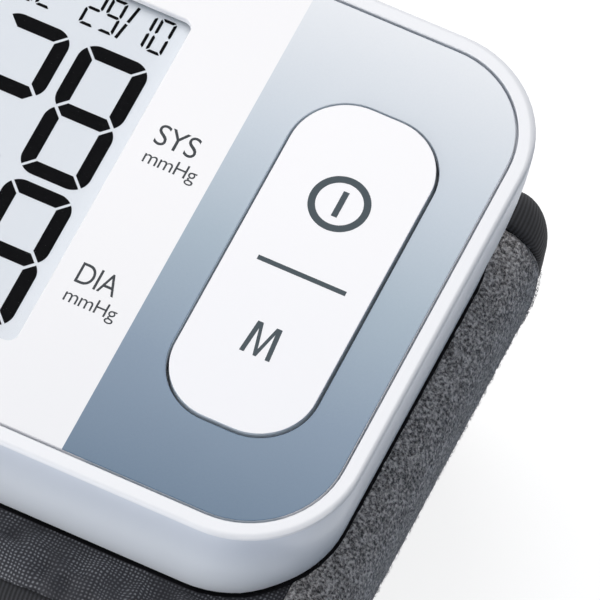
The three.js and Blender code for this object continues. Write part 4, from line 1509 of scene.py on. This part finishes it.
@dataclass
class Cuff:
    """The padded cuff that stays with the monitor."""

    cover_turns: tuple[float, float] = (-0.99, 3.56)
    half: float = 36.35 * MM
    wall: float = 0.9 * MM
    far_border: float = 4.95 * MM
    near_border: float = 2.4 * MM
    puff: float = 1.55 * MM
    roll: float = 4.2 * MM
    tape: float = 0.22 * MM
    tape_step: float = 0.5 * MM
    bite: float = 0.02 * MM
    fold_start: tuple[float, float] = (-27 * MM, -31.7 * MM)
    fold_corner: tuple[float, float] = (0.88, 1.0)
    fold_ramps: tuple[float, float, float] = (1.6 * MM, 1.2 * MM, 4 * MM)
    fold_ends: float = 1.5 * MM
    fold_cap: float = 1.1 * MM
    plug_ends: tuple[float, ...] = (0, 0.02, 0.12, 0.3, 1.0)
    plug_insets: tuple[float, ...] = (1.1, 0.55, 0.2, 0.05, 0.05)
    plug_floor: float = 2.15 * MM
    plug_half: float = 32 * MM
    fibres: tuple[int, float, float] = (9000, 0.75 * MM, 0.06 * MM)
    nipple_x: float = 6 * MM
    stitch: tuple[float, float] = (1.5 * MM, 0.16 * MM)
    stitch_pitch: float = 2.3 * MM
    stitch_lifts: tuple[float, float] = (0.84 * MM, 0.26 * MM)

    def cover_section(self, thickness: Array, inset: Array) -> tuple[Array, Array]:
        """The cover's C-shaped section, open to the wrist.

        Args:
            thickness: the cuff's thickness at each station, as a column.
            inset: how far the line lies inside the cover's outside, as a number or a column.

        Returns:
            The depth and y of the line, a row per station.
        """
        outer, inner = SKIN + inset + 0 * thickness, thickness - inset
        edge, half = self.roll - inset + 0 * thickness, self.half - inset + 0 * thickness
        angle = np.linspace(0, math.pi, 19)
        side = (outer + inner) / 2 + (inner - outer) / 2 * np.cos(angle)
        y_side = half - edge + edge * np.sin(angle)
        share = np.linspace(1, -1, 84)[1:-1]
        depth = np.concatenate([side, outer + 0 * share, side[:, ::-1]], axis=1)
        y = np.concatenate([y_side, (half - edge) * share, -y_side[:, ::-1]], axis=1)
        return depth, y

    def folds(self, along: Array, turn: Array, depth: Array, y: Array) -> Array:
        """How far folds lift the cover: two sets of ridges, near the case's foot only."""
        top, corner = self.fold_start
        start = top + (corner - top) * climb(turn, *self.fold_corner)
        ramp, border_ramp, end_ramp = self.fold_ramps
        border = self.near_border - self.half
        to_end = np.minimum(along, along[-1] - along)
        near = climb(start - y, 0, ramp) * climb(y, border, border + border_ramp)
        near = near * climb(to_end, self.fold_ends, self.fold_ends + end_ramp)
        long_folds = ripples(along * 0.22, y + along * 0.25, 7, 3.4 * MM)
        cross_folds = ripples(along, y * 0.4 - along * 0.3, 8, 4.2 * MM)
        ridges = np.maximum(long_folds, 0) * 3.2 + np.maximum(cross_folds, 0) * 1.8
        lift = ridges * near * (depth < 4 * MM) * MM
        return self.fold_cap * np.tanh(lift / self.fold_cap)

    def build_cover(self) -> None:
        """The mesh cover: its C section carried round the cuff, with folds near the case's foot."""
        along, turn = PATH.spread(*self.cover_turns, 190)
        thickness = PATH.thickness(turn)
        depth, y = self.cover_section(thickness, 0.0)
        depth_in, y_in = self.cover_section(thickness, self.wall)
        lift = self.folds(along, turn, depth, y) / np.hypot(depth - depth_in, y - y_in)
        depth, y = depth + (depth - depth_in) * lift, y + (y - y_in) * lift
        bend = np.cumsum(np.hypot(np.diff(depth, axis=1), np.diff(y, axis=1)), axis=1)
        across = np.concatenate([0 * along, bend], axis=1)
        across = across - across.mean(axis=1, keepdims=True)
        faces = PATH.lay(turn, depth, y), PATH.lay(turn, depth_in, y_in)
        cloth = np.stack([along + 0 * y, across], axis=-1)
        piece = sandwich("cuff_mesh_cover", *faces, cloth)
        flatten_foot(piece)
        settle(piece, CUFF_WEAVE, MONITOR, "woven_cover", "cuff_cover")

    def tape_line(self, turn: Array, border: float, proud: Array) -> Array:
        """One side of an edge tape: a round back, and two legs where the border is a broad one.

        Args:
            turn: the stations, as a column.
            border: how far the tape reaches in from the cover's edge.
            proud: how far the line stands off the cover, as a column.

        Returns:
            The (2, stations, columns) depth and y of the line.
        """
        thickness = PATH.thickness(turn)
        outer, inner = SKIN - proud, thickness + proud
        edge, half = self.roll + proud, self.half + proud
        angle = np.linspace(0.06, math.pi - 0.06, 25)
        depth = (outer + inner) / 2 - (inner - outer) / 2 * np.cos(angle)
        y = half - edge + edge * np.sin(angle)
        if border > self.roll:
            share = np.linspace(0, 1, 5)[:-1]
            leg = self.half - border + share * (border - self.roll) + 0 * turn
            slope = np.sin(share * math.pi / 2) ** 0.5
            rise = SKIN - self.bite - (proud - self.bite) * slope
            depth = np.concatenate([rise, depth, inner + 0 * leg], axis=1)
            y = np.concatenate([leg, y, leg[:, ::-1]], axis=1)
            return np.stack([depth, y])
        keep = (y > self.half - border).all(axis=0)
        return np.stack([depth[:, keep], y[:, keep]])

    def build_binding(self, name: str, side: int, border: float) -> None:
        """The ribbed tape folded over one long edge, fuller round the far edge's corners."""
        first, last = self.cover_turns
        along, turn = PATH.spread(first - 0.004, last + 0.003, 240)
        quarter = PATH.quarter(turn)
        bulge = np.exp(-(((quarter - 1.4) / 0.6) ** 2)) * climb(quarter, 0.95, 1.2)
        puff = self.puff * bulge * max(side, 0)
        stands = self.tape + puff, self.bite + 0 * puff
        lines = [self.tape_line(turn, border, proud) for proud in stands]
        columns = min(line.shape[-1] for line in lines)
        lines = [line[..., :columns] for line in lines]
        faces = [PATH.lay(turn, depth, side * y) for depth, y in lines]
        across = self.tape_step * np.arange(1, columns + 1)
        piece = sandwich(name, *faces, np.stack(np.broadcast_arrays(along, across), axis=-1))
        settle(piece, EDGE_TAPE, MONITOR, "woven_cover")

    def build_plug(self, name: str, start: float, end: float) -> None:
        """Closes an open end of the cover: its hollow, filled down to the lining and rounded."""
        turns = start + (end - start) * np.array(self.plug_ends)[:, None]
        inset = self.wall + np.array(self.plug_insets)[:, None] * MM
        thickness = PATH.thickness(turns)
        depth, y = self.cover_section(thickness, inset)
        shelf = thickness - self.plug_floor - (inset - inset.min()) * 0.8
        shelf_y = self.plug_half + 0 * thickness
        depth = np.concatenate([depth, shelf, shelf], axis=1)
        y = np.concatenate([y, -shelf_y, shelf_y], axis=1)
        index = numbered(*depth.shape)
        faces = [*quads(wrapped(index)).tolist(), index[0], index[-1, ::-1]]
        piece = link_mesh(name, PATH.lay(turns, depth, y).reshape(-1, 3), faces)
        run = 40 * MM * (turns - start)
        add_cloth_map(piece, np.stack(np.broadcast_arrays(y, run), axis=-1).reshape(-1, 2))
        close_up(piece)
        smooth(piece, 50)
        settle(piece, EDGE_TAPE, MONITOR, "woven_cover")

    def build_felt(self) -> None:
        """The loop felt down the right-hand side: a thin pad with rolled ends and a fuzz."""
        felt = strip(
            (1.05, 3.5), felt_depth, 0.8, 11,
            half=31.45, edge=0.7, end=0.7, step=0.8, wave=0.07, grain=2.2,
        )
        piece = felt.build("cuff_loop_felt")
        flatten_foot(piece)
        settle(piece, CUFF_FELT, MONITOR, "loop_felt", "cuff_felt")
        fibres = tufts("cuff_felt_fibres", felt, *self.fibres, 21)
        flatten_foot(fibres)
        settle(fibres, FIBRE, MONITOR, "loop_felt")

    def build_lining(self) -> None:
        """The knitted lining against the wrist, quilted across its width."""
        lining = strip(
            (-0.985, 3.555), lambda turn: PATH.thickness(turn) - 2 * MM, PATH.thickness, 31,
            half=31.85, edge=1, end=1, step=1.1, crown=0.15, wave=0.06, grain=8,
            seams=(4,), seam_depth=0.3, channels=np.arange(-60, 61, 24), channel_depth=0.6,
        )
        piece = lining.build_puffed("cuff_knit_lining", 0.02, 0.35)
        settle(piece, LINING, MONITOR, "lining", "cuff_lining")

    def build_bladder(self) -> None:
        """The air bag with its welded rim and its nipple."""
        bladder = strip(
            (-0.8, 3.3), 3.7, lambda turn: PATH.thickness(turn) - 2.3 * MM, 41,
            half=32.15, edge=1.4, end=1.4, step=1.6, crown=0.1, wave=0.08, grain=7,
            seams=(3,), seam_depth=0.3,
        )
        bag = bladder.build_puffed("air_bag", 0.01, 0.2)
        settle(bag, BLADDER_RUBBER, MONITOR, "black_rubber", "air_bladder")
        low, high = PATH.top / MM - 4.6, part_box("air_bladder")[1].z / MM
        radius, level = np.array([
            (0.01, low), (3.6, low), (3.6, low + 0.5), (2.0, low + 0.8), (1.55, low + 1.4),
            (1.55, high - 1.6), (1.6, high - 1.1), (1.5, high - 0.3), (1.2, high),
            (0.9, high), (0.9, low + 0.6), (0.01, low + 0.6),
        ]).T * MM
        angle = np.linspace(0, 2 * math.pi, 33)[:-1, None]
        x = self.nipple_x + radius * np.cos(angle)
        points = np.stack(np.broadcast_arrays(x, radius * np.sin(angle), level), axis=-1)
        nipple = hoop("air_bag_nipple", points, 0.002 * MM, 40)
        settle(nipple, BLADDER_RUBBER, MONITOR, "black_rubber")

    def build_stitches(self) -> None:
        """Lines of stitches on both faces, along the inner border of the far edge tape."""
        turns, run = PATH.lengths(self.cover_turns[0] + 0.03, self.cover_turns[1] - 0.03)
        places = np.interp(np.arange(0, run[-1], self.stitch_pitch), run, turns)
        outside, inside = self.stitch_lifts
        depth = np.concatenate([outside + 0 * places, PATH.thickness(places) + inside])
        y = self.half - self.far_border + 1 * MM + 0 * depth
        turn = np.concatenate([places, places])
        piece = stitches("cuff_edge_stitches", turn, depth, y, *self.stitch)
        settle(piece, THREAD, MONITOR, "woven_cover")

    def build(self) -> None:
        """Makes the whole cuff."""
        first, last = self.cover_turns
        self.build_cover()
        self.build_binding("cuff_binding_far", 1, self.far_border)
        self.build_binding("cuff_binding_near", -1, self.near_border)
        self.build_plug("cuff_end_upper", first + 0.004, first + 0.07)
        self.build_plug("cuff_end_lower", last - 0.004, last - 0.06)
        self.build_felt()
        self.build_lining()
        self.build_bladder()
        self.build_stitches()


def tufts(name: str, pad: Strip, count: int, length: float, width: float, seed: int) -> Object:
    """Short curved fibres that stand off a strip's outer face.

    Each is a ribbon of three links: a root, a part that rises, and one that leans over.
    """
    draw = np.random.default_rng(seed)
    turns, run = PATH.lengths(*pad.turns)
    at_rim = draw.uniform(0, 1, count) < 0.22
    across = draw.uniform(-pad.half, pad.half, count)
    rim = pad.half - np.abs(draw.normal(0, 0.25 * MM, count))
    across = np.where(at_rim, rim * np.sign(across), across)
    turn = np.interp(draw.uniform(0, run[-1], count), run, turns)
    lean = draw.uniform(0, 2 * math.pi, count)
    reach = length * draw.uniform(0.4, 1.1, count)
    along_lean = np.cos(lean) * reach * 0.6 / (run[-1] / (turns[-1] - turns[0]))
    side_lean = np.sin(lean) * reach * 0.6
    rows = []
    for share, rise in ((0.0, -0.1), (0.35, 0.42), (0.75, 0.6), (1.0, 0.42)):
        depth = pad.outer(turn) - rise * reach * 0.55
        centre = PATH.lay(turn + along_lean * share, depth, across + side_lean * share)
        offset = width * (1 - 0.7 * share) / 2
        side = np.column_stack([np.sin(lean * 2) * offset, np.cos(lean * 2) * offset, 0 * lean])
        rows.append(np.stack([centre - side, centre + side], axis=1))
    points = np.stack(rows, axis=1).reshape(-1, 3)
    base = np.arange(count)[:, None, None] * 8
    links = np.array([[0, 1, 3, 2], [2, 3, 5, 4], [4, 5, 7, 6]])
    piece = link_mesh(name, points, (base + links).reshape(-1, 4))
    smooth(piece)
    return piece


def stitches(
    name: str, turn: Array, depth: Array, y: Array, length: float, radius: float,
) -> Object:
    """Stitches laid along the cuff: each is a bent tube whose ends dive into the cloth."""
    turns, run = PATH.lengths(-1.0, 4.5)
    pace = run[-1] / (turns[-1] - turns[0])
    turn, depth, y = (block[:, None, None] for block in (turn, depth, y))
    share = np.linspace(-0.5, 0.5, 7)[:, None]
    angle = np.linspace(0, 2 * math.pi, 7)[:-1]
    swell = np.sqrt(np.maximum(1 - (2 * share) ** 2, 0)) * radius
    outward = np.where(depth > 3 * MM, 1.0, -1.0)
    arch = radius * (1 - (2 * share) ** 2) * 0.7
    below = depth + outward * (arch + swell * np.cos(angle) - 0.1 * MM)
    points = PATH.lay(turn + share * length / pace + 0 * angle, below, y + swell * np.sin(angle))
    count, rows, columns = points.shape[:3]
    base = np.arange(count)[:, None, None] * (rows * columns)
    faces = (base + quads(wrapped(numbered(rows, columns)))).reshape(-1, 4)
    piece = link_mesh(name, points.reshape(-1, 3), faces)
    close_up(piece)
    smooth(piece)
    return piece


@dataclass
class Flap:
    """The free end of the cuff, its hook tape, the tail that it closes over and the pull tab."""

    turns: tuple[float, float] = (3.568, 4.15)
    half: float = 33.35
    tuck: float = 0.7 * MM
    tuck_levels: tuple[float, float] = (43 * MM, 45.6 * MM)
    fold_start: tuple[float, float, float] = (-32.9 * MM, 0.0, 18.4 * MM)
    fold_end: tuple[float, float, float] = (-35.8 * MM, 0.0, 24.4 * MM)

    def build(self) -> None:
        """Makes the flap's pad, hinge tape, hooks and tab, and the tail below it."""
        fold = self.fold_start, self.fold_end
        pad = strip(
            self.turns, 0, 5.4, 51, half=self.half, edge=2.4, end=1.6, step=0.9, crown=0.25,
            wave=0.1, grain=7, seams=(4.6,),
        ).build_puffed("flap_padded_cover", 0.02, 0.4)
        settle(pad, CUFF_WEAVE, fold, "woven_cover", "flap_cover", "flap_pad")
        hinge = strip(
            (3.512, 3.605), 0.35, 1.1, 55, half=self.half - 0.6, edge=0.35, end=0.35, step=0.4,
            grain=5,
        ).build("flap_hinge_tape")
        settle(hinge, EDGE_TAPE, fold, "woven_cover")
        tail = strip(
            (3.68, 3.995), 7.0, 9.6, 61, half=30.35, edge=1.3, end=1.3, step=1, crown=0.1,
            wave=0.08, grain=3, seams=(3,), seam_depth=0.2,
        ).build_puffed("closing_felt_tail", 0.015, 0.25)
        draw_up(tail, *self.tuck_levels, self.tuck)
        settle(tail, CUFF_FELT, MONITOR, "loop_felt", "closing_tail")
        hook = strip(
            (3.7, 4.06), 5.75, 6.35, 71, half=24.35, edge=0.3, end=0.3, step=1.2, wave=0.02,
            grain=4,
        ).build("hook_tape")
        settle(hook, HOOK_TAPE, FLAP, "woven_cover", "hook_patch")
        tab = strip(
            (3.92, 4.5), -1.9, lambda turn: (1 - climb(turn, 4.04, 4.14)) * 0.55 * MM - 0.3 * MM,
            81, half=13, edge=0.7, end=1.6, step=0.5, grain=5, seams=(1.6,), seam_depth=0.25,
            channels=np.arange(0.2, 7.4, 1.7), channel_depth=0.45,
        ).build("pull_tab_grip")
        settle(tab, RUBBER, FLAP, "black_rubber", "pull_tab")


# ---------------------------------------------------------------- studio
WHITE = (1.0, 1.0, 1.0, 1.0)


def aim(holder: Object, direction: Vector) -> None:
    """Turns a camera or lamp to look along a direction."""
    holder.rotation_mode = "QUATERNION"
    holder.rotation_quaternion = direction.to_track_quat("-Z", "Y")


@dataclass(frozen=True)
class Studio:
    """The camera at the photograph's angle, the floor, the lamps and the surround."""

    azimuth: float = 25.88
    elevation: float = 61.6
    distance: float = 1.1502
    lens: float = 614.3
    target: tuple[float, float, float] = (24.12 * MM, -4.12 * MM, 76 * MM)
    floor_half: float = 3.0
    glow: float = 0.83
    veil: Colour = (0.34, 0.34, 0.34, 1.0)
    bounce: Colour = srgb(216, 221, 228)
    right_bounce: Colour = srgb(112, 130, 152)
    surround: Colour = (0.69, 0.71, 0.75, 1.0)
    surround_level: float = 0.64
    right_share: tuple[float, float, float, float] = (0.2, 0.26, 0.33, 1.0)
    lamps: tuple[tuple[Any, ...], ...] = (
        ("top_softbox", 11.4, 1.2, (-0.45, 0.35, 1.15), (1.0, 0.98, 0.96)),
        ("front_softbox", 4.0, 0.36, (-0.4, -1.0, 0.2), (0.97, 0.98, 1.0)),
    )

    def set_camera(self) -> None:
        """Looks at the target along the photograph's azimuth and elevation."""
        camera = link(bpy.data.objects.new("camera", bpy.data.cameras.new("camera")))
        azimuth, elevation = math.radians(self.azimuth), math.radians(self.elevation)
        level = math.cos(elevation)
        away = math.sin(azimuth) * level, -math.cos(azimuth) * level, math.sin(elevation)
        camera.data.lens = self.lens
        camera.data.sensor_width = 36
        camera.location = Vector(self.target) + Vector(away) * self.distance
        aim(camera, -Vector(away))
        bpy.context.scene.camera = camera

    @staticmethod
    def add_lamp(
        name: str, power: float, size: float, place: Sequence[float], colour: Sequence[float],
    ) -> None:
        """A square soft lamp that faces the object's middle."""
        lamp = bpy.data.lights.new(name, "AREA")
        lamp.energy, lamp.size, lamp.color = power, size, colour
        holder = link(bpy.data.objects.new(name, lamp))
        holder.location = place
        aim(holder, Vector((0, 0, 60 * MM)) - Vector(place))

    @staticmethod
    def seen(shade: Shade, kind: str, unseen: bpy.types.Node, seen: bpy.types.Node) -> Any:
        """Ends a tree in one shader for rays of light and one for camera, gloss and glass rays."""
        path = shade.add("ShaderNodeLightPath", {}, {})
        rays = ("Is Camera Ray", "Is Glossy Ray", "Is Transmission Ray")
        camera, gloss, through = (Wire(shade, path.outputs[ray]) for ray in rays)
        shaders = {0: camera.most(gloss).most(through), 1: unseen.outputs[0], 2: seen.outputs[0]}
        return shade.end(kind, shade.add("ShaderNodeMixShader", {}, shaders))

    def add_floor(self) -> None:
        """A pale floor that the camera sees as white, with the object's soft shadow on it."""
        corners = [(-1, -1, 0), (1, -1, 0), (1, 1, 0), (-1, 1, 0)]
        floor = link_mesh("floor", np.array(corners) * self.floor_half, [(0, 1, 2, 3)])
        shade = Shade("floor")
        across, along, _ = shade.parts(shade.place())
        right = shade.rise(across, 35 * MM, 80 * MM) * shade.rise(along, -110 * MM, -50 * MM)
        bounce = shade.mix(right, self.bounce, self.right_bounce)
        plain = shade.add("ShaderNodeBsdfDiffuse", {}, {"Color": bounce})
        glow = shade.add("ShaderNodeEmission", {}, {"Color": WHITE, "Strength": self.glow})
        veil = shade.add("ShaderNodeBsdfDiffuse", {}, {"Color": self.veil})
        lit = shade.add("ShaderNodeAddShader", {}, {0: glow.outputs[0], 1: veil.outputs[0]})
        floor.data.materials.append(self.seen(shade, "ShaderNodeOutputMaterial", plain, lit))

    def set_surround(self) -> None:
        """A pale blue-grey surround for light, and plain white for what sees it."""
        shade = Shade("surround", world=True)
        toward = shade.add("ShaderNodeTexCoord", {}, {}).outputs["Generated"]
        far_side = tuple(np.multiply(self.surround, self.right_share).tolist())
        tone = shade.mix(shade.rise(shade.parts(toward)[0], 0.0, 0.9), self.surround, far_side)
        inputs = {"Color": tone, "Strength": self.surround_level}
        light = shade.add("ShaderNodeBackground", {}, inputs)
        white = shade.add("ShaderNodeBackground", {}, {"Color": WHITE})
        bpy.context.scene.world = self.seen(shade, "ShaderNodeOutputWorld", light, white)

    def build(self) -> None:
        """Sets the whole studio."""
        bpy.context.scene.view_settings.view_transform = "Standard"
        self.set_camera()
        self.add_floor()
        self.set_surround()
        for lamp in self.lamps:
            self.add_lamp(*lamp)


def main() -> None:
    """Builds the studio and each sub-assembly in order, and reports each piece."""
    logging.basicConfig(level=logging.INFO, format="%(name)s: %(message)s")
    Studio().build()
    for assembly in (Case(), Display(), FacePrint(), Key(), Works(), Cuff(), Flap()):
        log.info("building %s", type(assembly).__name__)
        assembly.build()


if __name__ == "__main__":
    main()
